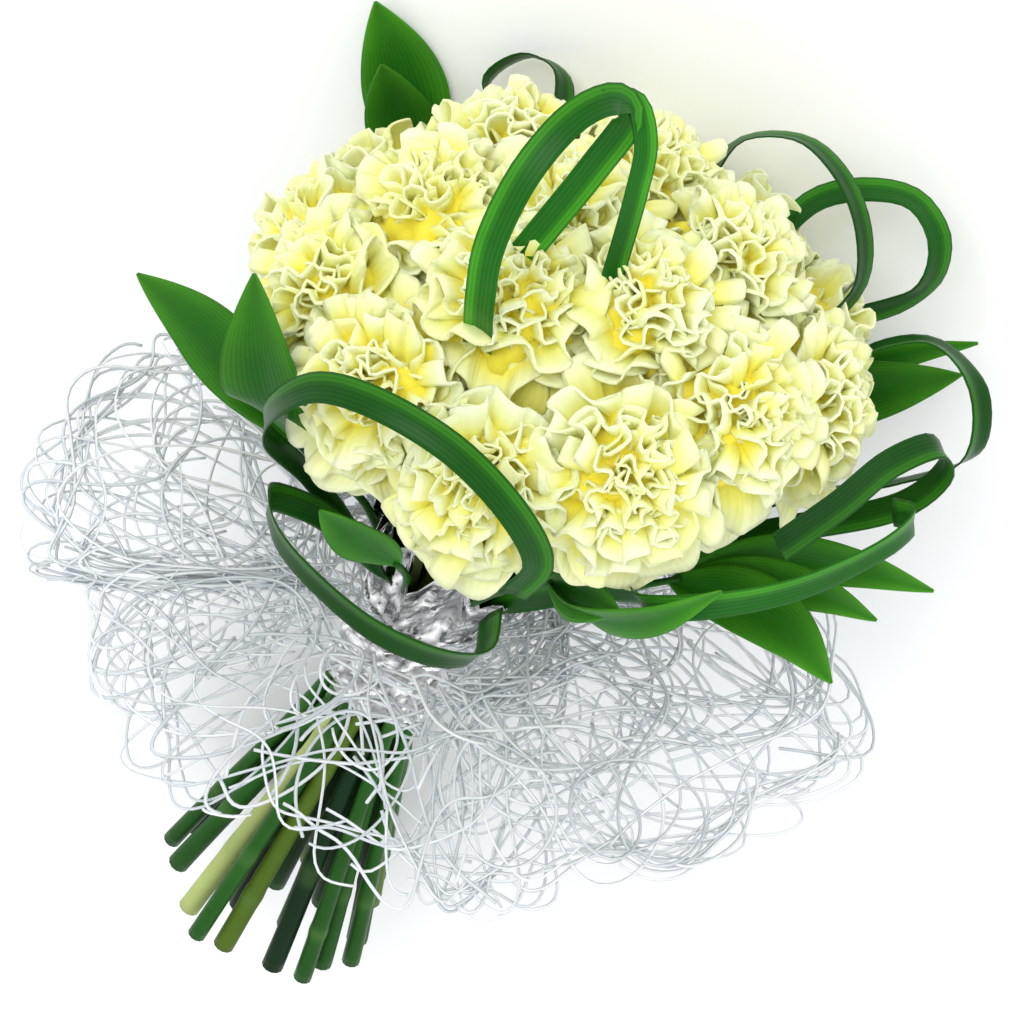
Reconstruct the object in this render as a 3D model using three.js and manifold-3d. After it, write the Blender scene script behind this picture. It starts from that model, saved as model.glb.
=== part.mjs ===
// A bunch of nineteen carnations with leaves and looped grass blades, tied in a silver sleeve
// under a collar of loose white strands. It lies on its side, on its lower blooms and stem ends.
// Millimetres and degrees. The bunch is modelled along its own axes: the tie is at the origin,
// z runs up the stems to the flowers, y to the side that lies uppermost. The last lines lay it down.
import * as THREE from "three";
import { mergeVertices } from "three/addons/utils/BufferGeometryUtils.js";
import Module from "manifold-3d";

const wasm = await Module();
wasm.setup();

const DEGREE = Math.PI / 180;
const CLEARANCE = 0.3;
const SLOT_MARGIN = 0.4;

// Head: bloom centres stand on a half ellipsoid that leans to one side of the stems.
const BLOOM_RADIUS = 41;
const HEAD_RADIUS = 85;
const HEAD_HEIGHT = 50;
const HEAD_CENTRE = new THREE.Vector3(0, 0, 172);
const HEAD_LEAN = 14;
const LEAN_AXIS = new THREE.Vector3(0, Math.sin(52 * DEGREE), Math.cos(52 * DEGREE));
const BLOOM_RINGS = [
  { first: 20, polars: [5] },
  { first: 6, polars: [35, 32, 28, 34, 28, 37] },
  { first: 21, polars: [69, 71, 80, 71, 61, 79, 86, 82, 77, 78, 91, 84] },
];

// Petals: layers from the outermost to the heart.
const PETAL_THICKNESS = 1.2;
const PETAL_ROOT = 12;
const PETAL_TWIST = 7;
const PETAL_OVERLAP = 1.08;
const PETAL_LAYERS = [
  { count: 4, polar: 98, reach: 1, ripple: 9, waves: 5 },
  { count: 3, polar: 63, reach: 1, ripple: 9, waves: 4 },
  { count: 2, polar: 29, reach: 0.98, ripple: 10, waves: 4 },
];
const CORE_PROFILE = [[0, -21], [8, -21], [20, -2], [11, 17], [0, 17]];
const CORE_SIDES = 6;

// Stems: the same pattern of slots is narrow in the tie and wide at the cut ends. Above the tie
// each ring of stems bows out by its own factor on the way to its blooms.
const STEM_RADIUS = 3.3;
const STEM_SIDES = 5;
const SLOT_RINGS = [0, 6.6, 13];
const STEM_BOWS = [1, 0.9, 1.3];
const OUTER_SLOT_RING = 19.4;
const TIE_HALF_LENGTH = 28;
const STEM_END = -186;
const CUT_SWELL = 1.55;
const CUT_SPREAD = 3.61;
const SPRAY_CUT_SPREAD = 2.7;
const BLOOM_BASE = 21;
const CALYX_PROFILE = [[3, 26], [6.2, 14], [6.6, 0]];
const NECK_BEND = 11;

// Leafy stems and grass blades are thinner, and stand round the flower stems in the tie.
const SPRAY_STEM_RADIUS = 2.9;
const SPRAY_TIP_RADIUS = 1.8;
const LEAF_THICKNESS = 1;
const LEAF_KEEL = 2.2;
const LEAF_STEPS = 5;
const GRASS_SLOT_RING = 21.5;
const GRASS_THICKNESS = 0.9;
const GRASS_HALF_WIDTH = 5.5;
const GRASS_TIE_HALF_WIDTH = 2.3;
const GRASS_STEP = 19;
const GRASS_FOOT = -44;

// Each leafy stem leaves the tie at an azimuth, follows its route, and carries leaves at its end.
// A leaf runs from the stem's end through its points to the tip.
const SPRAYS = [
  {
    name: "left",
    azimuth: 7,
    route: [[38, 16, 70], [60, 42, 102], [72, 64, 128]],
    leaves: [
      { through: [[98, 52, 132], [126, 36, 132], [156, 24, 129]], halfWidth: 13, facing: [0, 0.6, 1] },
      { through: [[82, 86, 156], [94, 90, 182], [106, 80, 203]], halfWidth: 17, facing: [0.3, 0.9, 0.4] },
    ],
  },
  {
    name: "top_left",
    azimuth: 307,
    route: [[42, -46, 80], [66, -83, 122], [84, -93, 150]],
    leaves: [
      { through: [[104, -101, 175], [130, -105, 204]], halfWidth: 17, facing: [-0.2, 1, 0.4] },
      { through: [[98, -88, 168], [115, -84, 193]], halfWidth: 14, facing: [-0.2, 1, 0.4] },
    ],
  },
  {
    name: "right",
    azimuth: 217,
    route: [[-44, -36, 80], [-84, -60, 138]],
    leaves: [
      {
        through: [[-108, -66, 166], [-128, -68, 186], [-145, -70, 202]],
        halfWidth: 13,
        facing: [0.2, 1, 0.5],
      },
      {
        through: [[-106, -78, 170], [-126, -84, 190], [-146, -86, 208]],
        halfWidth: 6,
        facing: [0.2, 1, 0.5],
      },
    ],
  },
  {
    name: "lower_right",
    azimuth: 157,
    route: [[-48, 16, 74], [-84, 20, 118]],
    leaves: [
      { through: [[-106, 30, 132], [-128, 42, 139], [-149, 55, 138]], halfWidth: 13, facing: [0, 0.7, 1] },
      { through: [[-110, 20, 136], [-134, 24, 148], [-155, 26, 151]], halfWidth: 9, facing: [0, 0.7, 1] },
      { through: [[-110, 10, 140], [-140, 6, 152], [-171, 3, 158]], halfWidth: 9, facing: [0, 0.7, 1] },
    ],
  },
  {
    name: "bottom",
    azimuth: 127,
    route: [[-22, 36, 78], [-40, 60, 122]],
    leaves: [
      { through: [[-48, 78, 138], [-64, 93, 154]], halfWidth: 10, facing: [0, 0.8, 0.6] },
      { through: [[-58, 90, 142], [-76, 102, 168], [-90, 98, 190]], halfWidth: 9, facing: [-0.3, 1, 0.1] },
    ],
  },
  {
    name: "bottom_left",
    azimuth: 67,
    route: [[10, 36, 64], [16, 56, 88]],
    leaves: [
      { through: [[32, 70, 102], [50, 80, 117]], halfWidth: 11, facing: [0.2, 1, 0.3] },
    ],
  },
];

// Grass blades bend round a centre. Those with an azimuth rise from the tie; all end tucked in.
const GRASS = [
  {
    name: "front",
    azimuth: 37,
    centre: [0, 60, 170],
    route: [[42, 34, 74], [63, 60, 112], [79, 96, 154], [77, 113, 183], [66, 120, 205], [46, 128, 218],
      [14, 133, 220], [-14, 134, 208], [-29, 127, 186], [-26, 124, 166]],
  },
  {
    name: "lower",
    azimuth: 52,
    centre: [20, 100, 150],
    route: [[28, 42, 72], [50, 62, 98], [67, 84, 116], [66, 104, 130], [56, 124, 137], [38, 140, 143],
      [10, 151, 146], [-14, 143, 141], [-27, 124, 133], [-24, 98, 128]],
  },
  {
    name: "top",
    centre: [26, 5, 272],
    route: [[25, 72, 214], [31, 88, 246], [36, 90, 270], [36, 80, 297], [30, 64, 314], [21, 48, 316],
      [15, 40, 306], [18, 44, 284], [26, 52, 244]],
    second: [[24, 54, 316], [15, 38, 311], [6, 37, 298], [1, 40, 280], [-6, 46, 244]],
  },
  {
    name: "right_thin",
    centre: [-56, -66, 228],
    route: [[-20, -54, 232], [-24, -72, 248], [-44, -76, 259], [-63, -66, 260], [-80, -56, 250],
      [-90, -48, 232], [-86, -36, 216]],
  },
  {
    name: "right_wide",
    centre: [-84, -110, 205],
    route: [[-52, -72, 208], [-62, -89, 230], [-78, -91, 244], [-95, -85, 253], [-109, -74, 250],
      [-115, -72, 234], [-110, -76, 214], [-86, -70, 190]],
  },
  {
    name: "right_low",
    azimuth: 187,
    centre: [-120, -50, 190],
    route: [[-56, -20, 80], [-106, -38, 128], [-145, -38, 168], [-158, -24, 206], [-147, -32, 226],
      [-126, -52, 222], [-110, -54, 208], [-100, -50, 192]],
  },
  {
    name: "bottom_wide",
    azimuth: 142,
    centre: [-90, 40, 170],
    route: [[-38, 32, 84], [-66, 60, 136], [-72, 90, 160], [-90, 92, 176], [-112, 74, 182], [-129, 52, 186],
      [-143, 30, 193], [-147, 14, 193], [-141, 2, 182]],
  },
  {
    name: "bottom_thin",
    azimuth: 172,
    centre: [-110, 20, 180],
    route: [[-60, -4, 88], [-112, -14, 136], [-146, -16, 174], [-151, -14, 200], [-142, -6, 213],
      [-128, 14, 211], [-116, 44, 206], [-102, 74, 200]],
  },
  {
    name: "back",
    centre: [58, -90, 190],
    route: [[62, -84, 186], [76, -102, 198], [66, -107, 214], [50, -100, 219], [40, -80, 212]],
  },
];

// Tie sleeve, drawn in a little at its middle, and strand collar.
const SLEEVE_PROFILE = [[22.9, -28], [25.4, -28], [24.8, -4], [26.4, 24], [22.9, 24]];
const SLEEVE_SIDES = 20;

// Collar: a curled net of strands between a gathered foot on the sleeve and an uneven rim.
const STRAND_RADIUS = 1.25;
const STRAND_SIDES = 3;
const FOOT_PROFILE = [[24.2, 24.3], [27.8, 24.3], [27.8, 27.5], [24.2, 27.5]];
const FOOT_SIDES = 16;
const FOOT_RADIUS = 26.3;
const FOOT_HEIGHT = 26;
const COLLAR_THROAT_RADIUS = 62;
const COLLAR_THROAT_HEIGHT = 46;
const RIM = [[166, -14, 62], [172, 70, 62], [150, 106, 40], [124, 106, 34], [90, 152, 24], [52, 162, 18],
  [8, 148, 10], [-40, 154, 8], [-72, 144, 10], [-104, 112, 14], [-166, 52, 22], [-206, -16, 52],
  [-150, -66, 78], [-74, -90, 86], [0, -91, 84], [74, -88, 70], [136, -62, 52]];
const RISING_STRANDS = 14;
const RISING_STEPS = 6;
const CROSSING_STRANDS = 3;
const CROSSING_HOPS = 7;
const LOWEST_CROSSING = 2;

// Lying: tilt of the stems to the surface, how far below the tie the surface is, and the height
// of the mid surface of petals that are pressed on it.
const TILT = 9.5;
const SURFACE_DEPTH = 79;
const PRESSED_HEIGHT = 0.3;

const COLOURS = {
  petal: 0xf3efb8,
  stem: 0x2f6b2a,
  leaf: 0x1f6b25,
  blade: 0x2a7a2c,
  sleeve: 0xd4d8dc,
  strand: 0xe9edf0,
};

const up = new THREE.Vector3(0, Math.cos(TILT * DEGREE), Math.sin(TILT * DEGREE));
const group = new THREE.Group();
const bunch = new THREE.Group();
group.add(bunch);

// Seeded draws, the same on each run
function drawsFrom(seed) {
  let state = seed >>> 0;
  return () => {
    state = (state + 0x6d2b79f5) >>> 0;
    let mixed = Math.imul(state ^ (state >>> 15), 1 | state);
    mixed = (mixed + Math.imul(mixed ^ (mixed >>> 7), 61 | mixed)) ^ mixed;
    return ((mixed ^ (mixed >>> 14)) >>> 0) / 4294967296;
  };
}

function material(colour, roughness, metalness = 0) {
  return new THREE.MeshStandardMaterial({ color: colour, roughness, metalness });
}

// Solids from meshes and back
function solidFrom(positions, faces) {
  const mesh = new wasm.Mesh({
    numProp: 3,
    vertProperties: new Float32Array(positions),
    triVerts: new Uint32Array(faces),
  });
  return new wasm.Manifold(mesh);
}

function solid(geometry) {
  const bare = geometry.clone();
  bare.deleteAttribute("normal");
  bare.deleteAttribute("uv");
  const merged = mergeVertices(bare, 1e-4);
  return solidFrom(merged.attributes.position.array, merged.index.array);
}

function joined(solids) {
  return solids.reduce((whole, piece) => whole.add(piece));
}

// The largest of the bodies in a solid; the loose scraps are dropped
function largestBody(whole) {
  const bodies = whole.decompose();
  return bodies.reduce((best, body) => (body.volume() > best.volume() ? body : best));
}

// What of a solid is above the surface that the bunch lies on, cut flat where it touches
function aboveSurface(whole) {
  return whole.trimByPlane(up.toArray(), -SURFACE_DEPTH);
}

function addNode(name, shape, finish) {
  const mesh = shape.getMesh();
  const geometry = new THREE.BufferGeometry();
  geometry.setAttribute("position", new THREE.BufferAttribute(mesh.vertProperties, 3));
  geometry.setIndex(new THREE.BufferAttribute(mesh.triVerts, 1));
  const node = new THREE.Mesh(geometry, finish);
  node.name = name;
  bunch.add(node);
}

// Faces between two rows of points, which may differ in number
function stitch(faces, first, firstCount, second, secondCount) {
  let i = 0;
  let j = 0;
  while (i < firstCount - 1 || j < secondCount - 1) {
    const stepFirst = j === secondCount - 1
      || (i < firstCount - 1 && (i + 1) / (firstCount - 1) < (j + 1) / (secondCount - 1));
    if (stepFirst) {
      faces.push([first + i, first + i + 1, second + j]);
      i += 1;
    } else {
      faces.push([first + i, second + j + 1, second + j]);
      j += 1;
    }
  }
}

// A closed blade: the rows of points are its mid surface, and both faces have the same triangles
function blade(rows, thickness) {
  const points = rows.flat();
  const faces = [];
  let start = 0;
  for (let r = 0; r + 1 < rows.length; r += 1) {
    const next = start + rows[r].length;
    stitch(faces, start, rows[r].length, next, rows[r + 1].length);
    start = next;
  }
  const normals = points.map(() => new THREE.Vector3());
  const triangle = new THREE.Triangle();
  const normal = new THREE.Vector3();
  for (const [a, b, c] of faces) {
    triangle.set(points[a], points[b], points[c]).getNormal(normal);
    for (const corner of [a, b, c]) {
      normals[corner].add(normal);
    }
  }
  const positions = [];
  for (const side of [0.5, -0.5]) {
    points.forEach((point, index) => {
      const offset = normals[index].clone().normalize().multiplyScalar(side * thickness);
      positions.push(...point.clone().add(offset).toArray());
    });
  }
  const far = points.length;
  const edges = new Set(faces.flatMap(([a, b, c]) => [`${a} ${b}`, `${b} ${c}`, `${c} ${a}`]));
  const triangles = [];
  for (const [a, b, c] of faces) {
    triangles.push(a, b, c, far + a, far + c, far + b);
  }
  for (const edge of edges) {
    const [a, b] = edge.split(" ").map(Number);
    if (!edges.has(`${b} ${a}`)) {
      triangles.push(b, a, far + a, b, far + a, far + b);
    }
  }
  return solidFrom(positions, triangles);
}

// A closed rod through its stations, each a place and a radius
function rod(stations, sides) {
  const positions = [];
  const triangles = [];
  const across = new THREE.Vector3(1, 0, 0);
  stations.forEach(({ at, radius }, index) => {
    const before = stations[Math.max(index - 1, 0)].at;
    const after = stations[Math.min(index + 1, stations.length - 1)].at;
    const along = after.clone().sub(before).normalize();
    across.addScaledVector(along, -across.dot(along)).normalize();
    const beside = along.clone().cross(across);
    for (let k = 0; k < sides; k += 1) {
      const angle = (2 * Math.PI * k) / sides;
      const point = at.clone();
      point.addScaledVector(across, radius * Math.cos(angle));
      point.addScaledVector(beside, radius * Math.sin(angle));
      positions.push(...point.toArray());
      if (index > 0) {
        const here = index * sides + k;
        const next = index * sides + ((k + 1) % sides);
        triangles.push(here - sides, next - sides, next, here - sides, next, here);
      }
    }
  });
  const last = (stations.length - 1) * sides;
  for (let k = 1; k + 1 < sides; k += 1) {
    triangles.push(0, k + 1, k, last, last + k, last + k + 1);
  }
  return solidFrom(positions, triangles);
}

function polarPoint(radius, polar, azimuth, z = 0) {
  return new THREE.Vector3(
    radius * Math.sin(polar * DEGREE) * Math.cos(azimuth * DEGREE),
    radius * Math.sin(polar * DEGREE) * Math.sin(azimuth * DEGREE),
    z + radius * Math.cos(polar * DEGREE),
  );
}

function ringPoint(radius, azimuth, z) {
  return new THREE.Vector3(radius * Math.cos(azimuth * DEGREE), radius * Math.sin(azimuth * DEGREE), z);
}

// Where each bloom stands, which way it faces and its slot in the tie
function bloomPlaces() {
  const places = [];
  BLOOM_RINGS.forEach((ring, ringIndex) => {
    ring.polars.forEach((polar, k) => {
      const azimuth = ring.first + (360 * k) / ring.polars.length;
      const unit = polarPoint(1, polar, azimuth);
      const centre = unit.clone().multiply(new THREE.Vector3(HEAD_RADIUS, HEAD_RADIUS, HEAD_HEIGHT));
      const facing = unit.clone().divide(new THREE.Vector3(HEAD_RADIUS, HEAD_RADIUS, HEAD_HEIGHT));
      centre.applyAxisAngle(LEAN_AXIS, HEAD_LEAN * DEGREE).add(HEAD_CENTRE);
      facing.normalize().applyAxisAngle(LEAN_AXIS, HEAD_LEAN * DEGREE);
      const slot = ringPoint(SLOT_RINGS[ringIndex], azimuth, 0);
      places.push({ centre, facing, slot, bow: STEM_BOWS[ringIndex] });
    });
  });
  return places;
}

const blooms = bloomPlaces();

// Distances from a bloom's centre to the planes where its neighbours press it
function pressingPlanes(place) {
  const planes = [];
  for (const other of blooms) {
    const offset = other.centre.clone().sub(place.centre);
    const distance = offset.length();
    if (distance > 0 && distance < 2 * BLOOM_RADIUS) {
      const reach = distance / 2 - CLEARANCE / 2 - PETAL_THICKNESS / 2;
      planes.push({ towards: offset.normalize(), reach });
    }
  }
  return planes;
}

// Draws a point of a bloom in towards its centre, so that the whole bloom stays inside its planes
function pressed(point, planes) {
  const length = point.length();
  const direction = point.clone().normalize();
  let share = 1;
  for (const { towards, reach } of planes) {
    const along = direction.dot(towards);
    if (along > 0) {
      share = Math.min(share, reach / along / BLOOM_RADIUS);
    }
  }
  return direction.multiplyScalar(length * share);
}

// A petal fans out from a root in the core to a waved edge, one side above the next petal's
function petalRows(layer, azimuth, draw) {
  const halfSpan = (180 / layer.count) * PETAL_OVERLAP;
  const reach = BLOOM_RADIUS * layer.reach * (0.95 + 0.05 * draw());
  const root = polarPoint(PETAL_ROOT, layer.polar * 0.85, azimuth);
  const middle = [-0.7, 0.7].map((across) => {
    const polar = layer.polar * 0.95 + PETAL_TWIST * across;
    return polarPoint(reach * 0.66, polar, azimuth + halfSpan * across);
  });
  const edge = [];
  for (let k = 0; k <= layer.waves; k += 1) {
    const across = (2 * k) / layer.waves - 1;
    const crest = k === 0 || k === layer.waves ? 0 : (k % 2 === 0 ? 1 : -1) * (0.8 + 0.4 * draw());
    const polar = layer.polar + PETAL_TWIST * across + layer.ripple * crest;
    edge.push(polarPoint(reach * (1 - 0.08 * across * across), polar, azimuth + halfSpan * across));
  }
  return [[root], middle, edge];
}

function bloomSolid(place, index) {
  const draw = drawsFrom(101 + index);
  const planes = pressingPlanes(place);
  const turn = new THREE.Quaternion().setFromUnitVectors(new THREE.Vector3(0, 0, 1), place.facing);
  const settle = (point) => {
    const at = pressed(point.clone().applyQuaternion(turn), planes).add(place.centre);
    const height = at.dot(up) + SURFACE_DEPTH;
    return at.addScaledVector(up, Math.max(0, PRESSED_HEIGHT - height));
  };

  const profile = CORE_PROFILE.map(([radius, height]) => new THREE.Vector2(radius, height));
  const core = new THREE.LatheGeometry(profile, CORE_SIDES).rotateX(Math.PI / 2);
  const corners = core.attributes.position;
  const corner = new THREE.Vector3();
  for (let k = 0; k < corners.count; k += 1) {
    corner.fromBufferAttribute(corners, k);
    corners.setXYZ(k, ...settle(corner).toArray());
  }
  const pieces = [solid(core)];
  PETAL_LAYERS.forEach((layer, layerIndex) => {
    for (let k = 0; k < layer.count; k += 1) {
      const azimuth = (360 * (k + 0.5 * layerIndex)) / layer.count + 12 * draw();
      const rows = petalRows(layer, azimuth, draw).map((row) => row.map(settle));
      pieces.push(blade(rows, PETAL_THICKNESS));
    }
  });
  const slotted = tuckedSlots.reduce((whole, slot) => whole.subtract(slot), joined(pieces));
  return largestBody(aboveSurface(slotted));
}

// The straight run of any stem: fanned and thickest at the cut end, gathered in the tie
function lowerStations(slot, radius, spread) {
  return [
    { at: slot.clone().multiplyScalar(spread).setZ(STEM_END), radius: radius * CUT_SWELL },
    { at: slot.clone().setZ(-TIE_HALF_LENGTH), radius },
    { at: slot.clone().setZ(TIE_HALF_LENGTH), radius },
  ];
}

// A flower stem bends outward above the tie and swells into the calyx under its bloom
function flowerStemSolid(place) {
  const down = place.facing.clone().negate();
  const calyx = CALYX_PROFILE.map(([radius, drop]) => (
    { at: place.centre.clone().addScaledVector(down, BLOOM_BASE + CLEARANCE + drop), radius }
  ));
  const base = calyx[0].at;
  const neck = base.clone().addScaledVector(down, NECK_BEND).add(new THREE.Vector3(0, 0, -NECK_BEND));
  const half = neck.clone().lerp(place.slot.clone().setZ(TIE_HALF_LENGTH), 0.5);
  half.x *= place.bow;
  half.y *= place.bow;
  const bend = [{ at: half, radius: STEM_RADIUS }, { at: neck, radius: STEM_RADIUS }];
  const stations = [...lowerStations(place.slot, STEM_RADIUS, CUT_SPREAD), ...bend, ...calyx];
  return aboveSurface(rod(stations, STEM_SIDES));
}

blooms.forEach((place, index) => {
  addNode(`stem_${index + 1}`, flowerStemSolid(place), material(COLOURS.stem, 0.6));
});

const sleeveProfile = SLEEVE_PROFILE.map(([radius, height]) => new THREE.Vector2(radius, height));
sleeveProfile.push(sleeveProfile[0].clone());
const sleeve = new THREE.LatheGeometry(sleeveProfile, SLEEVE_SIDES).rotateX(Math.PI / 2);
addNode("tie_sleeve", solid(sleeve), material(COLOURS.sleeve, 0.3, 0.8));

const vector = (coordinates) => new THREE.Vector3(...coordinates);

// Rows across a flat or keeled band that follows a curve and faces the given way
function bandRows(curve, steps, facingAt, halfWidthAt, keel) {
  const rows = [];
  for (let k = 0; k <= steps; k += 1) {
    const share = k / steps;
    const at = curve.getPointAt(share);
    const along = curve.getTangentAt(share);
    const side = along.clone().cross(facingAt(at)).normalize();
    const face = side.clone().cross(along);
    const halfWidth = halfWidthAt(share);
    const row = [at.clone().addScaledVector(side, halfWidth), at.clone().addScaledVector(side, -halfWidth)];
    if (keel > 0) {
      row.splice(1, 0, at.clone().addScaledVector(face, (-keel * halfWidth) / 12));
    }
    rows.push(row);
  }
  return rows;
}

function leafSolid(root, leaf, margin = 0) {
  const curve = new THREE.CatmullRomCurve3([root, ...leaf.through.map(vector)]);
  const facing = vector(leaf.facing);
  const halfWidthAt = (share) => (
    0.6 + margin + leaf.halfWidth * Math.max(0, 1 - Math.abs(2 * share ** 0.9 - 1) ** 1.9)
  );
  const rows = bandRows(curve, LEAF_STEPS, () => facing, halfWidthAt, LEAF_KEEL);
  return blade(rows, LEAF_THICKNESS + 2 * margin);
}

// Where the leaves of a leafy stem begin, a little below its end
function leafRoot(spray) {
  const [below, fork] = spray.route.slice(-2).map(vector);
  return below.lerp(fork, 0.9);
}

function spraySolid(spray) {
  const slot = ringPoint(OUTER_SLOT_RING, spray.azimuth, 0);
  const stations = [
    ...lowerStations(slot, SPRAY_STEM_RADIUS, SPRAY_CUT_SPREAD),
    ...spray.route.map((at) => ({ at: vector(at), radius: SPRAY_TIP_RADIUS })),
  ];
  const leaves = spray.leaves.map((leaf) => leafSolid(leafRoot(spray), leaf));
  return largestBody(joined([rod(stations, STEM_SIDES), ...leaves]));
}

for (const spray of SPRAYS) {
  addNode(`spray_${spray.name}`, spraySolid(spray), material(COLOURS.leaf, 0.4));
}

function grassSolid(grass, margin) {
  const route = grass.route.map(vector);
  const tied = grass.azimuth !== undefined;
  if (tied) {
    const heights = [GRASS_FOOT, 0, TIE_HALF_LENGTH + 4];
    route.unshift(...heights.map((z) => ringPoint(GRASS_SLOT_RING, grass.azimuth, z)));
  }
  const curve = new THREE.CatmullRomCurve3(route);
  const length = curve.getLength();
  const centre = vector(grass.centre);
  const tieShare = (TIE_HALF_LENGTH - GRASS_FOOT) / length;
  const halfWidthAt = (share) => {
    const open = tied ? THREE.MathUtils.smoothstep(share, tieShare, tieShare * 2) : 1;
    return THREE.MathUtils.lerp(GRASS_TIE_HALF_WIDTH, GRASS_HALF_WIDTH, open) + margin;
  };
  const axis = new THREE.Vector3();
  const facingAt = (at) => (
    tied && at.z < TIE_HALF_LENGTH * 2 ? at.clone().setZ(0).sub(axis) : at.clone().sub(centre)
  );
  const steps = Math.round(length / GRASS_STEP);
  const band = blade(bandRows(curve, steps, facingAt, halfWidthAt, 0), GRASS_THICKNESS + 2 * margin);
  if (!grass.second) return band;
  const fold = new THREE.CatmullRomCurve3(grass.second.map(vector));
  const foldSteps = Math.round(fold.getLength() / GRASS_STEP);
  const narrow = () => GRASS_HALF_WIDTH * 0.8 + margin;
  return band.add(blade(bandRows(fold, foldSteps, facingAt, narrow, 0), GRASS_THICKNESS + 2 * margin));
}

for (const grass of GRASS) {
  addNode(`grass_blade_${grass.name}`, grassSolid(grass, 0), material(COLOURS.blade, 0.35));
}

// The room that tucked grass blades and pressed leaves need inside the blooms
const tuckedSlots = [
  ...GRASS.map((grass) => grassSolid(grass, SLOT_MARGIN)),
  ...SPRAYS.flatMap((spray) => spray.leaves.map((leaf) => leafSolid(leafRoot(spray), leaf, SLOT_MARGIN))),
];

blooms.forEach((place, index) => {
  addNode(`bloom_${index + 1}`, bloomSolid(place, index), material(COLOURS.petal, 0.75));
});

// The collar's surface: round is the share of the way round, out the share from foot to rim
const rim = new THREE.CatmullRomCurve3(RIM.map(vector), true);

function collarPoint(round, out) {
  const edge = rim.getPoint(((round % 1) + 1) % 1);
  const azimuth = Math.atan2(edge.y, edge.x) / DEGREE;
  const foot = ringPoint(FOOT_RADIUS, azimuth, FOOT_HEIGHT);
  const throat = ringPoint(COLLAR_THROAT_RADIUS, azimuth, COLLAR_THROAT_HEIGHT);
  return new THREE.QuadraticBezierCurve3(foot, throat, edge).getPoint(out);
}

// A strand that rises from the foot, swaying to each side
function risingStrand(index, draw) {
  const start = (index + 0.6 * draw()) / RISING_STRANDS;
  const sway = 0.05 * (draw() - 0.5);
  const lean = 0.1 * (draw() - 0.5);
  const phase = draw() * Math.PI;
  const top = 0.88 + 0.12 * draw();
  const places = [];
  for (let k = 0; k <= RISING_STEPS; k += 1) {
    const out = (top * k) / RISING_STEPS;
    places.push({ round: start + out * (lean + sway * Math.sin(phase + 4 * out)), out });
  }
  return places;
}

// A strand that goes from one rising strand to the next, with a bulge between them.
// The levels are the steps at which it meets them.
function crossingStrand(rising, first, levels, draw) {
  const met = levels.map((level, k) => {
    const turns = Math.floor((first + k) / rising.length);
    const { round, out } = rising[(first + k) % rising.length][level];
    return { round: round + turns, out };
  });
  return met.flatMap((here, k) => {
    if (k === met.length - 1) return [here];
    const next = met[k + 1];
    const bulge = 0.16 * (draw() - 0.5);
    const out = Math.min(1, (here.out + next.out) / 2 + bulge);
    return [here, { round: (here.round + next.round) / 2, out }];
  });
}

function drawnLevels(draw) {
  const levels = [3 + Math.floor(3 * draw())];
  for (let k = 0; k < CROSSING_HOPS; k += 1) {
    const level = levels[k] + Math.floor(3 * draw()) - 1;
    levels.push(THREE.MathUtils.clamp(level, LOWEST_CROSSING, RISING_STEPS - 1));
  }
  return levels;
}

function collarSolid() {
  const draw = drawsFrom(7);
  const profile = FOOT_PROFILE.map(([radius, height]) => new THREE.Vector2(radius, height));
  profile.push(profile[0].clone());
  const pieces = [solid(new THREE.LatheGeometry(profile, FOOT_SIDES).rotateX(Math.PI / 2))];
  const rising = Array.from({ length: RISING_STRANDS }, (_, k) => risingStrand(k, draw));
  const edge = new Array(RISING_STRANDS + 1).fill(RISING_STEPS);
  const crossing = Array.from({ length: CROSSING_STRANDS }, (_, k) => {
    const first = Math.round((RISING_STRANDS * k) / CROSSING_STRANDS);
    return crossingStrand(rising, first, drawnLevels(draw), draw);
  });
  for (const places of [...rising, crossingStrand(rising, 0, edge, draw), ...crossing]) {
    const points = places.map(({ round, out }) => collarPoint(round, out));
    pieces.push(rod(points.map((at) => ({ at, radius: STRAND_RADIUS })), STRAND_SIDES));
  }
  return largestBody(joined(pieces));
}

addNode("strand_collar", collarSolid(), material(COLOURS.strand, 0.5));

// The bunch lies down on the surface, with the middle of its footprint at the origin
bunch.rotation.x = (90 - TILT) * DEGREE;
bunch.position.z = SURFACE_DEPTH;
const footprint = new THREE.Box3().setFromObject(group, true).getCenter(new THREE.Vector3());
bunch.position.x -= footprint.x;
bunch.position.y -= footprint.y;

export default group;
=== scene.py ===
"""Looks of a bunch of carnations lying on its side.

Shapes are made in millimetres along the bunch's own axes, as the solids are: the tie is at the
origin, z runs up the stems to the flowers, and y points to the side that lies uppermost.
lie_down() puts them in the model's frame, in metres.
"""

import math

import bpy
import numpy as np
from mathutils import Matrix, Vector


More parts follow.
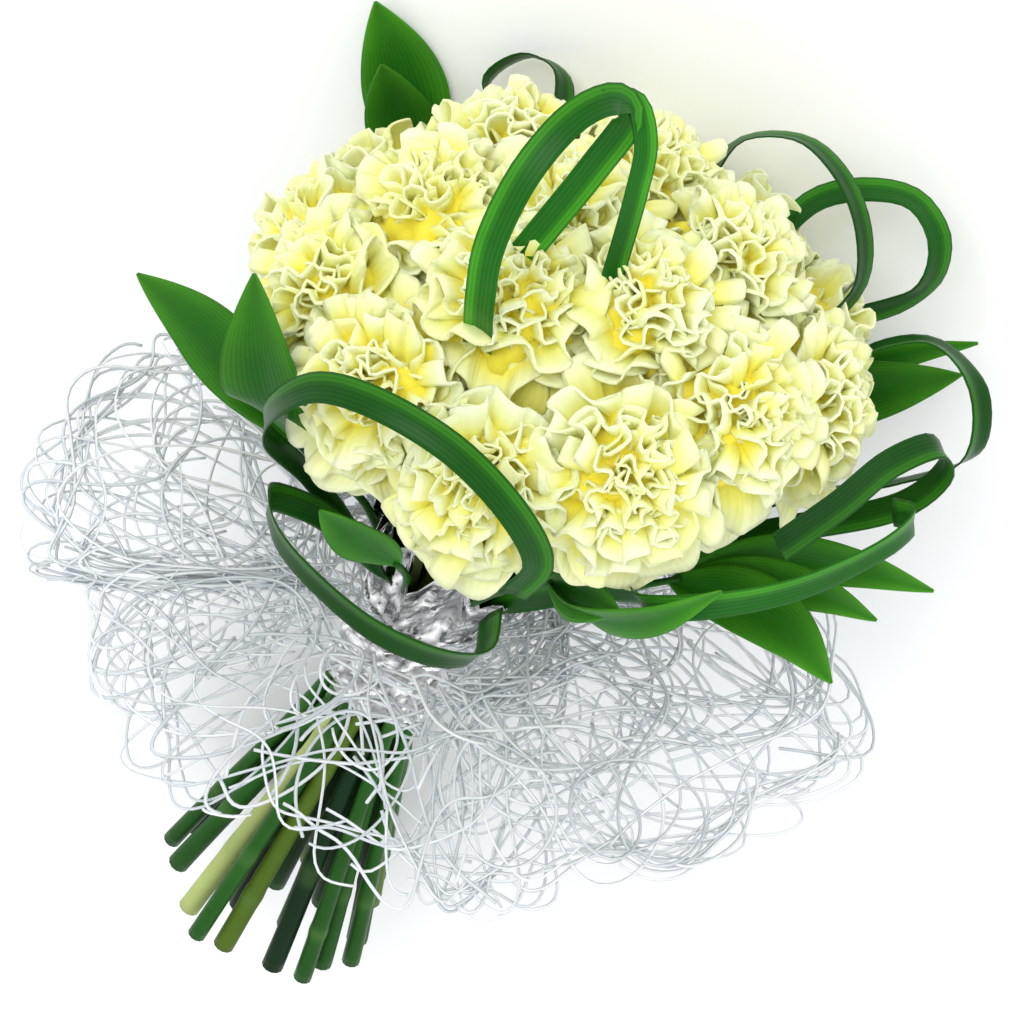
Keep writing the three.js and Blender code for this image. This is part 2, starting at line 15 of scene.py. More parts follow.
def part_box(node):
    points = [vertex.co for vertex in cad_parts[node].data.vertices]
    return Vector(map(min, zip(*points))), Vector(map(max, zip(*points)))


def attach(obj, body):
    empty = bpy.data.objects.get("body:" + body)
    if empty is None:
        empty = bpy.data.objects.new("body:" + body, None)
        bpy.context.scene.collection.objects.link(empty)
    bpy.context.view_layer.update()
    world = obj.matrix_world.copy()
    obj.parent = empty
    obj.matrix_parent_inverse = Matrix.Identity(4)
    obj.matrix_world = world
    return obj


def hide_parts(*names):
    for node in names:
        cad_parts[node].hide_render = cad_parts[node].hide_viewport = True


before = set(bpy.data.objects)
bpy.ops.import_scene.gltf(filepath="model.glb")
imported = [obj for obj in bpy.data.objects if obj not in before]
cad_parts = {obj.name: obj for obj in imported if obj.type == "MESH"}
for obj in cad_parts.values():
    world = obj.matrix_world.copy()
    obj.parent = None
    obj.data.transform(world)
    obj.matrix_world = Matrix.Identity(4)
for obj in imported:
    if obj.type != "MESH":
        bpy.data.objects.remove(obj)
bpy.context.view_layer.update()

# How the bunch lies: the tilt of its stems, the tie's height over the surface, and how far petals
# and strands stay above it
MM = 0.001
TILT = math.radians(9.5)
RISE = math.pi / 2 - TILT
SURFACE_DEPTH = 79
PRESSED_HEIGHT = 0.4
STRAND_CLEARANCE = 1.2

# Head: a leaning dome of blooms in rings, each with its first bloom's azimuth and all polar angles
BLOOM_RADIUS = 41
HEAD_AXES = np.array([85, 85, 50])
HEAD_CENTRE = np.array([0, 0, 172])
HEAD_LEAN = math.radians(14)
LEAN_AXIS = np.array([0, math.sin(math.radians(52)), math.cos(math.radians(52))])
BLOOM_RINGS = [
    (20, [5]),
    (6, [35, 32, 28, 34, 28, 37]),
    (21, [69, 71, 80, 71, 61, 79, 86, 82, 77, 78, 91, 84]),
]

# How far a bloom reaches past the plane midway to its neighbour, the cosine from which a petal
# faces it, and the share of the radius which, if free, lets petals stand out by up to FREE_REACH
NEIGHBOUR_OVERLAP = 8
FACING_NEIGHBOUR = 0.05
FREE_ROOM = 0.9
FREE_REACH = 0.5

# Petal rings, from the heart outwards: how many petals, the polar angle of their edges, how much
# further the blade leans out, its reach as a share of the bloom's radius, its half width, and the
# number and height of the folds across it
PETAL_KEYS = ("count", "polar", "lean", "reach", "width", "folds", "swell")
PETAL_RINGS = [dict(zip(PETAL_KEYS, row)) for row in [
    (5, 6, 3, 0.92, 7, 1.4, 2.8),
    (7, 18, 12, 0.94, 9, 1.7, 3.8),
    (8, 31, 18, 0.95, 12, 1.9, 4.8),
    (8, 45, 24, 0.98, 14, 1.9, 5.2),
    (7, 60, 28, 1.01, 16, 1.7, 5.0),
    (6, 77, 30, 1.02, 18, 1.3, 4.0),
    (5, 108, 16, 1.30, 19, 0.6, 1.8),
]]
PETAL_ROWS = np.array([0, 0.3, 0.5, 0.66, 0.79, 0.89, 0.96, 1])
PETAL_COLUMNS = 23
PETAL_THICKNESS = 0.5
EDGE_THICKNESS = 1.0
EDGE_CURL = 1.6
CLAW_RADIUS = 1.6
CLAW_HALF_WIDTH = 2.2

# How unlike each other the petals of a ring are: angles in degrees, but AZIMUTH_SPREAD in radians,
# the tilt of the edge in mm, and the rest as factors or added shares
POLAR_SPREAD = 6.5
LEAN_SPREAD = 10
AZIMUTH_SPREAD = 0.22
REACH_CHANGE = (-0.06, 0.03)
WIDTH_FACTOR = (0.9, 1.15)
SWELL_FACTOR = (0.75, 1.2)
FOLD_FACTOR = (0.85, 1.2)
TILT_SPREAD = 1.6
CUP_FACTOR = (-0.6, 1.4)
CURL_FACTOR = (-0.6, 1.2)

# Long smooth petals that hang at the head's lower edge: their form, and for each its bloom, counted
# from 0, its turn from straight down, in radians, and its reach
HANGING_PETAL = {"polar": 80, "lean": 20, "width": 17, "folds": 0.45, "swell": 1.4}
HANGING_PETALS = [(9, 0.28, 1.17), (10, 0.1, 1.08), (10, 0.75, 1.1), (8, 0.2, 1.1)]

# The crowded innermost petals of a bloom, as shares of its radius: their reach and their ridges.
# They cover a range of polar angles, and taper below between two of these
HEART_REACH = 0.70
HEART_ROWS = 20
HEART_COLUMNS = 48
HEART_POLAR_RANGE = (1, 150)
HEART_TAPER = (65, 120)
HEART_TAPER_SHARE = 0.5
BROAD_RIDGE = 0.08
NARROW_RIDGE = 0.06

# Stems, which run through rings of slots in the tie
STEM_RADIUS = 3.3
RADIUS_FACTOR = (0.94, 1.04)
STEM_SIDES = 12
STEM_STATIONS = 66
CUT_SWELL = 1.55
NECK_TAPER = 0.86
NECK_LENGTH = 60
SLOT_RINGS = [0, 6.6, 13]
STEM_BOWS = [1, 0.9, 1.3]
OUTER_SLOT_RING = 19.4
TIE_HALF_LENGTH = 28
STEM_END = -186
CUT_SPREAD = 3.61
NECK_BEND = 11

# Joints of a stem, which are counted on past its end
FIRST_JOINT = (30, 60)
JOINT_SPACING = (62, 82)
JOINTS_PAST_END = 80
JOINT_HALF_LENGTH = 3.2
JOINT_SWELL = 0.12

# The cut face, a thin disc that stands out a little
CUT_FACE_SHARE = 0.8
CUT_FACE_DEPTH = 0.4
CUT_FACE_STEP = 0.05

# Calyx: its radii, and how far below the bloom's base each is, and where its rings lie
BLOOM_BASE = 21.3
CALYX = [(3, 26), (5.4, 21), (6.2, 13), (6.6, 0)]
CALYX_DROPS = np.array([26, 24, 21, 17, 12, 6, 0])
CALYX_SIDES = 20
CALYX_TEETH = 5
TOOTH_HEIGHT = 1.2

# Leafy stems and leaves
SPRAY_STEM_RADIUS = 2.9 * 0.95
SPRAY_CUT_SPREAD = 2.7
SPRAY_NECK_TAPER = 0.62
SPRAY_TIP_TAPER = 0.5
LEAF_KEEL = 2.2
LEAF_KEEL_AT = 12
LEAF_RIPPLE = 0.05
LEAF_THICKNESS = 0.7
LEAF_ROWS = 44
LEAF_COLUMNS = 13
LEAF_FOOT_HALF_WIDTH = 0.6

# Grass blades, which open out above the tie
GRASS_SLOT_RING = 21.5
GRASS_THICKNESS = 0.6
GRASS_HALF_WIDTH = 5.5
GRASS_TIE_HALF_WIDTH = 2.3
GRASS_FOOT = -44
GRASS_CLEAR_OF_TIE = 4
GRASS_STEP = 5
GRASS_COLUMNS = 9
GRASS_FOLD = (0.10, 0.16)
SECOND_ROUTE_SCALE = 0.8

# Each leafy stem: its azimuth in the tie, its route, and its leaves with the points that the leaf
# runs through, its half width and the way that it faces
SPRAYS = {
    "left": (7, [(38, 16, 70), (60, 42, 102), (72, 64, 128)], [
        ([(98, 52, 132), (126, 36, 132), (156, 24, 129)], 13, (0, 0.6, 1)),
        ([(82, 86, 156), (94, 90, 182), (106, 80, 203)], 17, (0.3, 0.9, 0.4)),
    ]),
    "top_left": (307, [(42, -46, 80), (66, -83, 122), (84, -93, 150)], [
        ([(104, -101, 175), (130, -105, 204)], 17, (-0.2, 1, 0.4)),
        ([(98, -88, 168), (115, -84, 193)], 14, (-0.2, 1, 0.4)),
    ]),
    "right": (217, [(-44, -36, 80), (-84, -60, 138)], [
        ([(-108, -66, 166), (-128, -68, 186), (-145, -70, 202)], 13, (0.2, 1, 0.5)),
        ([(-106, -78, 170), (-126, -84, 190), (-146, -86, 208)], 6, (0.2, 1, 0.5)),
    ]),
    "lower_right": (157, [(-48, 16, 74), (-84, 20, 118)], [
        ([(-106, 30, 132), (-128, 42, 139), (-149, 55, 138)], 13, (0, 0.7, 1)),
        ([(-110, 20, 136), (-134, 24, 148), (-155, 26, 151)], 9, (0, 0.7, 1)),
        ([(-110, 10, 140), (-140, 6, 152), (-171, 3, 158)], 9, (0, 0.7, 1)),
    ]),
    "bottom": (127, [(-22, 36, 78), (-40, 60, 122)], [
        ([(-48, 78, 138), (-64, 93, 154)], 10, (0, 0.8, 0.6)),
        ([(-58, 90, 142), (-76, 102, 168), (-90, 98, 190)], 9, (-0.3, 1, 0.1)),
    ]),
    "bottom_left": (67, [(10, 36, 64), (16, 56, 88)], [
        ([(32, 70, 102), (50, 80, 117)], 11, (0.2, 1, 0.3)),
    ]),
}

# Each grass blade: its azimuth in the tie, or None where both ends are tucked into the head, the
# centre that it bends round, and its routes
GRASS = {
    "front": (37, (0, 60, 170), [[(42, 34, 74), (63, 60, 112), (79, 96, 154), (77, 113, 183),
        (66, 120, 205), (46, 128, 218), (14, 133, 220), (-14, 134, 208), (-29, 127, 186),
        (-26, 124, 166)]]),
    "lower": (52, (20, 100, 150), [[(28, 42, 72), (50, 62, 98), (67, 84, 116), (66, 104, 130),
        (56, 124, 137), (38, 140, 143), (10, 151, 146), (-14, 143, 141), (-27, 124, 133),
        (-24, 98, 128)]]),
    "top": (None, (26, 5, 272), [
        [(25, 72, 214), (31, 88, 246), (36, 90, 270), (36, 80, 297), (30, 64, 314), (21, 48, 316),
            (15, 40, 306), (18, 44, 284), (26, 52, 244)],
        [(24, 54, 316), (15, 38, 311), (6, 37, 298), (1, 40, 280), (-6, 46, 244)]]),
    "right_thin": (None, (-56, -66, 228), [[(-20, -54, 232), (-24, -72, 248), (-44, -76, 259),
        (-63, -66, 260), (-80, -56, 250), (-90, -48, 232), (-86, -36, 216)]]),
    "right_wide": (None, (-84, -110, 205), [[(-52, -72, 208), (-62, -89, 230), (-78, -91, 244),
        (-95, -85, 253), (-109, -74, 250), (-115, -72, 234), (-110, -76, 214), (-86, -70, 190)]]),
    "right_low": (187, (-120, -50, 190), [[(-56, -20, 80), (-106, -38, 128), (-145, -38, 168),
        (-158, -24, 206), (-147, -32, 226), (-126, -52, 222), (-110, -54, 208), (-100, -50, 192)]]),
    "bottom_wide": (142, (-90, 40, 170), [[(-38, 32, 84), (-66, 60, 136), (-72, 90, 160),
        (-90, 92, 176), (-112, 74, 182), (-129, 52, 186), (-143, 30, 193), (-147, 14, 193),
        (-141, 2, 182)]]),
    "bottom_thin": (172, (-110, 20, 180), [[(-60, -4, 88), (-112, -14, 136), (-146, -16, 174),
        (-151, -14, 200), (-142, -6, 213), (-128, 14, 211), (-116, 44, 206), (-102, 74, 200)]]),
    "back": (None, (58, -90, 190), [[(62, -84, 186), (76, -102, 198), (66, -107, 214),
        (50, -100, 219), (40, -80, 212)]]),
}

# Sleeve: radii and heights of its outer side, its dents, broad and sharp, and how far its points
# stray, up and down in mm, and sideways in radians over the number of columns
SLEEVE_PROFILE = [(25.4, -28), (24.8, -4), (26.4, 24)]
SLEEVE_INNER_RADIUS = 22.9
SLEEVE_DENTS = (1.1, 1.3)
SLEEVE_LIFT = 0.5
SLEEVE_STRAY = 2.1
FOIL_ROWS = 22
FOIL_COLUMNS = 64
FOIL_THICKNESS = 0.3

# Rows and columns of points in a broad dent
DENT_ROWS = 3
DENT_COLUMNS = 4

# The foil's gathered upper edge
GATHER_TOP = 72
GATHER_START = 3
GATHER_RADII = ([0, 0.3, 1], [25.4, 27.5, 38])
GATHER_ROWS = 15
GATHER_DENTS = (1.8, 1.5)
GATHER_FOLD_HEIGHT = 1.7
GATHER_DENT_SHARE = 1.3

# The foil's greys, and its painted glints: a bright grey at a share of its points, which stands for
# reflected light
FOIL_GREYS = (0.2, 0.5)
PAINTED_GLINT_GREY = 0.97
PAINTED_GLINT_SHARE = 0.2

# Collar: its rim, and the foot and the throat that it curves out from, as a radius and a height
RIM = [(166, -14, 62), (172, 70, 62), (150, 106, 40), (124, 106, 34), (90, 152, 24), (52, 162, 18),
    (8, 148, 10), (-40, 154, 8), (-72, 144, 10), (-104, 112, 14), (-166, 52, 22), (-206, -16, 52),
    (-150, -66, 78), (-74, -90, 86), (0, -91, 84), (74, -88, 70), (136, -62, 52)]
FOOT_RADIUS = 26.3
FOOT_HEIGHT = 26
COLLAR_THROAT = (62, 46)
COLLAR_REACH = 150

# Strands: their number, their points' distance and number, their radii, how far they stand off the
# collar's surface, and how many stations each point gives
STRANDS = 290
STRAND_STEP = 5
STRAND_LENGTHS = (34, 64)
STRAND_RADII = (0.6, 0.9)
STRAND_SIDES = 3
STRAND_OFFSET = 2.4
STRAND_SWAY = 1.5
STRAND_FINENESS = 1.35

# Every so many strands one rises from the foot. The rest are shares of the way out at which strands
# start and turn back, and the sine of the heading that the rim turns them to
RISING_EVERY = 5
RISING_START = 0.02
RISING_INNER = 0.06
START_RANGE = (0.25, 0.95)
INNER_RANGE = (0.1, 0.4)
RIM_ZONE = 0.9
RIM_HEADING = -0.2
RIM_LIMIT = 0.96
FOOT_LIMIT = 0.01

# How a strand curls and turns back, in radians a step, how much of its curl it keeps, and how
# straight a rising one starts
CURL_START = 0.1
CURL_KEPT = 0.9
CURL_CHANGE = 0.05
RIM_TURN = 0.42
INNER_TURN = 0.5
RISING_SPREAD = 0.35

# Share of the way round, from the left of the photographed side, and how crowded the web is there.
# Where it is thinner than THIN_WEB, strands end early: inwards of THIN_INNER, or by chance
WEB_CROWDING = [
    (0, 0.5), (0.12, 0.75), (0.2, 0.6), (0.26, 0.3), (0.46, 0.3), (0.52, 0.8), (0.58, 1),
    (0.68, 1), (0.74, 0.4), (0.95, 0.4), (1, 0.5)]
THIN_WEB = 0.4
THIN_INNER = 0.3
THIN_STEPS = 3
FREE_END_CHANCE = 0.04

# How finely a curve's length is measured, and a direction that no tube starts in
CURVE_SAMPLES = 400
FIRST_SIDE = (0.31, 0.87, 0.38)

# The view, whose polar angle is counted from the stems
CAMERA_TARGET = np.array([0, 0, 176])
CAMERA_DISTANCE = 1.0
CAMERA_POLAR = math.radians(52)
CAMERA_ROLL = math.radians(28)
FOCAL_PIXELS = 2631.6
HEAD_PIXEL = (560, 345)
FRAME_PIXELS = 1024
SENSOR = 36
CLIP_START = 0.05


# Places

def unit(vectors):
    """Vectors made one long."""
    return vectors / np.maximum(np.linalg.norm(vectors, axis=-1, keepdims=True), 1e-9)


def turned(points, axis, angle):
    """points turned about an axis through the origin."""
    turn = np.array(Matrix.Rotation(angle, 3, Vector(axis)))
    return np.asarray(points, float) @ turn.T


def turn_between(start, end):
    """The matrix that turns the direction start to the direction end."""
    return np.array(Vector(start).rotation_difference(Vector(end)).to_matrix())


def tie_place():
    """Where the tie's middle is in the model's frame, in mm, read from the sleeve's box."""
    low, high = (np.array(corner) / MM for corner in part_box("tie_sleeve"))
    (foot_radius, foot), _, (top_radius, top) = SLEEVE_PROFILE
    beside = ((foot_radius - top_radius) * math.cos(RISE) - (foot + top) * math.sin(RISE)) / 2
    return np.array([(low[0] + high[0]) / 2, (low[1] + high[1]) / 2 - beside, SURFACE_DEPTH])


TIE = tie_place()


def lie_down(points):
    """Points along the bunch's axes, in mm, to the model's frame, in metres."""
    return (turned(points, (1, 0, 0), RISE) + TIE) * MM


UP = turned([0, 0, 1], (1, 0, 0), -RISE)


def lifted(points, clearance):
    """Points with those raised that would lie lower than clearance over the surface."""
    height = points @ UP + SURFACE_DEPTH
    return points + UP * np.maximum(0, clearance - height)[..., None]


def ring_point(radius, azimuth, z=0):
    """The point at a radius, an azimuth in degrees and a height."""
    angle = math.radians(azimuth)
    return np.array([radius * math.cos(angle), radius * math.sin(angle), z])


def catmull_rom(points, closed=False):
    """A centripetal curve through points: a function from an array of shares to places."""
    points = np.asarray(points, float)
    if closed:
        padded = np.vstack([points[-1], points, points[:2]])
    else:
        padded = np.vstack([2 * points[0] - points[1], points, 2 * points[-1] - points[-2]])
    spans = len(padded) - 3

    def at(shares):
        place = np.clip(np.asarray(shares, float), 0, 1) * spans
        index = np.minimum(place.astype(int), spans - 1)
        weight = (place - index)[..., None]
        p0, p1, p2, p3 = (padded[index + k] for k in range(4))
        t0, t1, t2 = (
            np.maximum(np.linalg.norm(b - a, axis=-1, keepdims=True) ** 0.5, 1e-4)
            for a, b in ((p0, p1), (p1, p2), (p2, p3)))
        start = ((p1 - p0) / t0 - (p2 - p0) / (t0 + t1) + (p2 - p1) / t1) * t1
        end = ((p2 - p1) / t1 - (p3 - p1) / (t1 + t2) + (p3 - p2) / t2) * t1
        cube = 2 * p1 - 2 * p2 + start + end
        square = -3 * p1 + 3 * p2 - 2 * start - end
        return cube * weight ** 3 + square * weight ** 2 + start * weight + p1

    return at


def even_stations(curve, count):
    """count places spaced evenly along a curve, its directions there, and its length."""
    shares = np.linspace(0, 1, CURVE_SAMPLES)
    places = curve(shares)
    lengths = np.concatenate([[0], np.cumsum(np.linalg.norm(np.diff(places, axis=0), axis=1))])
    even = np.interp(np.linspace(0, lengths[-1], count), lengths, shares)
    stations = curve(even)
    return stations, unit(np.gradient(stations, axis=0)), lengths[-1]


# Meshes

def grid_quads(rows, columns, wrap=False):
    """Faces of a grid of points, whose columns join up where wrap is set."""
    spans = columns if wrap else columns - 1
    row, left = np.meshgrid(np.arange(rows - 1), np.arange(spans), indexing="ij")
    right = (left + 1) % columns
    start, after = row * columns, (row + 1) * columns
    return np.stack([start + left, start + right, after + right, after + left], -1).reshape(-1, 4)


def shell(points, thickness):
    """A closed thin shell round a grid of points, and its faces."""
    rows, columns = points.shape[:2]
    normals = unit(np.cross(np.gradient(points, axis=0), np.gradient(points, axis=1)))
    half = normals * np.asarray(thickness) / 2
    front, back = points + half, points - half
    count = rows * columns
    outside = grid_quads(rows, columns)
    index = np.arange(count).reshape(rows, columns)
    border = np.concatenate([index[0, :], index[1:, -1], index[-1, -2::-1], index[-2:0:-1, 0]])
    after = np.roll(border, -1)
    rim = np.stack([after, border, border + count, after + count], -1)
    faces = np.vstack([outside[:, ::-1], outside + count, rim[:, ::-1]])
    return np.vstack([front.reshape(-1, 3), back.reshape(-1, 3)]), faces


def tube(stations, radii, sides):
    """The rings of points of a tube through stations."""
    stations = np.asarray(stations, float)
    directions = unit(np.gradient(stations, axis=0))
    across = np.empty_like(stations)
    side = unit(np.cross(directions[0], FIRST_SIDE))
    for k, along in enumerate(directions):
        side = unit(side - along * (side @ along))
        across[k] = side
    beside = np.cross(directions, across)
    angles = 2 * np.pi * np.arange(sides) / sides
    radii = np.broadcast_to(np.asarray(radii, float), len(stations))[:, None, None]
    ring = across[:, None] * np.cos(angles)[:, None] + beside[:, None] * np.sin(angles)[:, None]
    return stations[:, None] + ring * radii


def add_object(name, data):
    thing = bpy.data.objects.new(name, data)
    bpy.context.scene.collection.objects.link(thing)
    return thing


class Build:
    """Gathers the points, faces and colours of one piece."""

    def __init__(self):
        self.points = []
        self.quads = []
        self.fans = []
        self.colours = []
        self.marks = []
        self.count = 0

    def add(self, points, quads, colours, marks=None):
        """Points with their four-sided faces, their colours, and their marks for the veins."""
        points = np.asarray(points, float).reshape(-1, 3)
        colours = np.broadcast_to(np.asarray(colours, float).reshape(-1, 3), points.shape)
        marks = np.zeros(points.shape) if marks is None else marks
        self.points.append(points)
        self.colours.append(colours)
        self.marks.append(marks)
        self.quads.append(quads + self.count)
        self.count += len(points)

    def add_shell(self, points, thickness, colours, marks):
        """A thin shell round a grid of points, coloured and marked alike on both faces."""
        closed, faces = shell(points, thickness)
        self.add(closed, faces, *(np.vstack([values.reshape(-1, 3)] * 2) for values in (colours, marks)))

    def add_rings(self, rings, colours, inside_out=False):
        """A body of rings of points, closed by a face at each end.

        inside_out is set where the rings run the other way round."""
        rows, columns = rings.shape[:2]
        quads = grid_quads(rows, columns, wrap=True)
        start = self.count + np.arange(columns)
        end = start + (rows - 1) * columns
        if inside_out:
            self.add(rings, quads[:, ::-1], colours)
            self.fans += [start, end[::-1]]
        else:
            self.add(rings, quads, colours)
            self.fans += [start[::-1], end]

    def piece(self, name, material, nodes, smooth=True):
        """The Blender object of what was gathered, which replaces nodes of the solids."""
        points = lie_down(np.vstack(self.points))
        points[:, 2] = np.maximum(points[:, 2], 0)
        quads = np.vstack(self.quads)
        mesh = bpy.data.meshes.new(name)
        corners = np.concatenate([quads.ravel(), *self.fans])
        sizes = np.concatenate([np.full(len(quads), 4), [len(fan) for fan in self.fans]]).astype(int)
        mesh.vertices.add(len(points))
        mesh.vertices.foreach_set("co", points.astype(np.float32).ravel())
        mesh.loops.add(len(corners))
        mesh.loops.foreach_set("vertex_index", corners.astype(np.int32))
        mesh.polygons.add(len(sizes))
        starts = np.concatenate([[0], np.cumsum(sizes)[:-1]]).astype(np.int32)
        mesh.polygons.foreach_set("loop_start", starts)
        mesh.update(calc_edges=True)
        mesh.polygons.foreach_set("use_smooth", np.full(len(sizes), smooth))
        for attribute, blocks in (("tint", self.colours), ("mark", self.marks)):
            layer = mesh.color_attributes.new(attribute, "FLOAT_COLOR", "POINT")
            values = np.c_[np.vstack(blocks), np.ones(len(points))]
            layer.data.foreach_set("color", values.astype(np.float32).ravel())
        mesh.validate()
        mesh.materials.append(material)
        thing = add_object(name, mesh)
        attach(thing, "root")
        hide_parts(*nodes)


def vein_marks(lengthwise, columns, tag):
    """Each point's way along, its way across, which the veins are drawn by, and a tag."""
    across = np.linspace(0, 1, columns)[None, :]
    return np.stack(np.broadcast_arrays(lengthwise, across, tag), -1)


def mix(first, second, share):
    """From one value, place or colour to another."""
    share = np.asarray(share, float)[..., None]
    return np.asarray(first) * (1 - share) + np.asarray(second) * share


def smooth_step(low, high, value):
    """0 up to low, 1 from high on, and an easy rise in between."""
    share = np.clip((value - low) / (high - low), 0, 1)
    return share * share * (3 - 2 * share)


# Blooms

def bloom_places():
    """Each bloom's centre, the way that it faces, its slot in the tie, and its stem's bow."""
    places = []
    for (first, polars), slot_radius, bow in zip(BLOOM_RINGS, SLOT_RINGS, STEM_BOWS):
        for k, polar in enumerate(polars):
            azimuth = first + 360 * k / len(polars)
            angle = math.radians(polar)
            direction = ring_point(math.sin(angle), azimuth, math.cos(angle))
            centre = turned(direction * HEAD_AXES, LEAN_AXIS, HEAD_LEAN) + HEAD_CENTRE
            facing = turned(unit(direction / HEAD_AXES), LEAN_AXIS, HEAD_LEAN)
            places.append((centre, facing, ring_point(slot_radius, azimuth), bow))
    return places


BLOOMS = bloom_places()

EDGE_COLOUR = (0.88, 0.92, 0.60)
BODY_COLOUR = (0.89, 0.88, 0.21)
# Gold of the bloom's depths, brighter than its faces: partly the heart's own colour, partly a painted
# glow that lifts the shade between the petals
GOLD_AND_PAINTED_GLOW_COLOUR = (0.98, 0.88, 0.06)
ROOT_COLOUR = (0.96, 0.86, 0.08)
UNDER_COLOUR = (0.84, 0.87, 0.30)
HEART_COLOUR = (0.94, 0.82, 0.07)


def pressed(points, centre):
    """Draws points in towards the bloom's centre, so that the bloom fits between its neighbours.

    Also gives each point's share of the bloom's radius before that."""
    lengths = np.linalg.norm(points, axis=-1)
    directions = unit(points)
    room = np.ones(lengths.shape)
    for other, _, _, _ in BLOOMS:
        offset = other - centre
        distance = np.linalg.norm(offset)
        if 0 < distance < 2 * BLOOM_RADIUS:
            along = directions @ (offset / distance)
            reach = distance / 2 + NEIGHBOUR_OVERLAP
            share = reach / np.maximum(along, FACING_NEIGHBOUR) / BLOOM_RADIUS
            room = np.minimum(room, np.where(along > FACING_NEIGHBOUR, share, 1))
    cap = BLOOM_RADIUS * room * (1 + FREE_REACH * smooth_step(FREE_ROOM, 1, room))
    return directions * np.minimum(lengths * room, cap)[..., None], lengths / BLOOM_RADIUS


def petal_profile(polar, lean, reach):
    """The four control points of a petal's middle line, as distances out and up from the bloom."""
    start = np.array([CLAW_RADIUS, -BLOOM_BASE])
    end = reach * np.array([math.sin(polar), math.cos(polar)])
    length = np.linalg.norm(end - start)
    bend = start + 0.5 * length * np.array([0.12 * math.sin(polar), 1])
    ease = end - 0.42 * length * np.array([math.sin(lean), math.cos(lean)])
    return start, bend, ease, end


def petal(ring, azimuth, draw):
    """The mid surface of a petal in its bloom's own frame: rows from its claw to its waved edge."""
    polar = math.radians(ring["polar"] + draw.normal(0, POLAR_SPREAD))
    lean = polar + math.radians(ring["lean"] + draw.normal(0, LEAN_SPREAD))
    reach = BLOOM_RADIUS * (ring["reach"] + draw.uniform(*REACH_CHANGE))
    start, bend, ease, end = petal_profile(polar, lean, reach)
    u = np.linspace(-1, 1, PETAL_COLUMNS)[None, :]
    v = PETAL_ROWS[:, None]
    phase, drift, frill_phase, notch_phase = draw.uniform(0, 2 * math.pi, 4)

    # The middle line, which ends earlier towards the petal's sides, and the way that it faces
    s = v * (1 - 0.26 * np.abs(u) ** 2.8 + 0.03 * np.sin(4.2 * u + notch_phase))
    profile = [
        (1 - s) ** 3 * start[k] + 3 * (1 - s) ** 2 * s * bend[k]
        + 3 * (1 - s) * s ** 2 * ease[k] + s ** 3 * end[k]
        for k in range(2)
    ]
    slope = [
        3 * (1 - v) ** 2 * (bend[k] - start[k]) + 6 * (1 - v) * v * (ease[k] - bend[k])
        + 3 * v ** 2 * (end[k] - ease[k])
        for k in range(2)
    ]
    steep = np.hypot(*slope)
    out, rise = slope[1] / steep, -slope[0] / steep

    # Folds that grow towards the edge, a fine frill, a tilt and a cup, and the edge's curl
    width = ring["width"] * draw.uniform(*WIDTH_FACTOR)
    half = CLAW_HALF_WIDTH + (width - CLAW_HALF_WIDTH) * smooth_step(0.12, 0.72, v)
    swell = ring["swell"] * draw.uniform(*SWELL_FACTOR)
    fold = math.pi * ring["folds"] * draw.uniform(*FOLD_FACTOR)
    wave = fold * u + phase + 0.6 * v * math.sin(drift)
    size = smooth_step(0.2, 1, v) ** 1.2
    lift = size * swell * np.sin(wave) + 0.6 * v ** 4 * np.sin(2.9 * fold * u + frill_phase)
    lift = lift + draw.normal(0, TILT_SPREAD) * u * size
    lift = lift - half * 0.14 * u ** 2 * draw.uniform(*CUP_FACTOR)
    lift = lift - EDGE_CURL * smooth_step(0.8, 1, v) * draw.uniform(*CURL_FACTOR)
    sway = half * u - 0.5 * size * swell * np.sin(2 * wave + 0.5 * math.sin(drift))
    local = np.stack([profile[0] + out * lift, sway + 0 * v, profile[1] + rise * lift], -1)
    return turned(local, (0, 0, 1), azimuth)


def petal_colours(depth, v, warmth, pale, outer, spread):
    """Colours from a petal's claw, where v is 0, to its pale edge, where v is 1.

    It turns a brighter gold near the bloom's centre, where depth is small: partly the bloom's own golden
    heart, partly a painted glow that lifts the shade between the petals there. It is greener at its foot
    if outer."""
    v = v + 0 * depth
    # Painted glow: towards the bloom's centre the colour turns to this brighter gold, which lifts the
    # shade between the petals
    body = mix(GOLD_AND_PAINTED_GLOW_COLOUR, BODY_COLOUR, smooth_step(0.5, 0.95, depth - 0.12 * warmth))
    body = mix(ROOT_COLOUR, body, smooth_step(0.05, 0.4, v))
    body = mix(body, UNDER_COLOUR, outer * smooth_step(1.0, 0.5, v))
    margin = smooth_step(0.90 - 0.16 * spread, 1.0, v)
    return mix(body, EDGE_COLOUR, np.clip(margin * (0.85 + pale), 0, 1))


def add_petal(build, ring, azimuth, centre, turn, draw):
    points, depth = pressed(petal(ring, azimuth, draw) @ turn.T, centre)
    points = lifted(points + centre, PRESSED_HEIGHT)
    swollen = smooth_step(0.8, 1, PETAL_ROWS)[:, None, None]
    warmth = max(0, 1 - ring["polar"] / 60) + draw.normal(0, 0.25)
    outer = 0.7 * smooth_step(60, 96, ring["polar"])
    spread = smooth_step(20, 80, ring["polar"])
    pale = draw.uniform(-0.25, 0.25)
    v = PETAL_ROWS[:, None]
    tint = petal_colours(depth, v, warmth, pale, outer, spread)
    marks = vein_marks(v, PETAL_COLUMNS, draw.uniform())
    thickness = PETAL_THICKNESS + (EDGE_THICKNESS - PETAL_THICKNESS) * swollen
    build.add_shell(points, thickness, tint, marks)


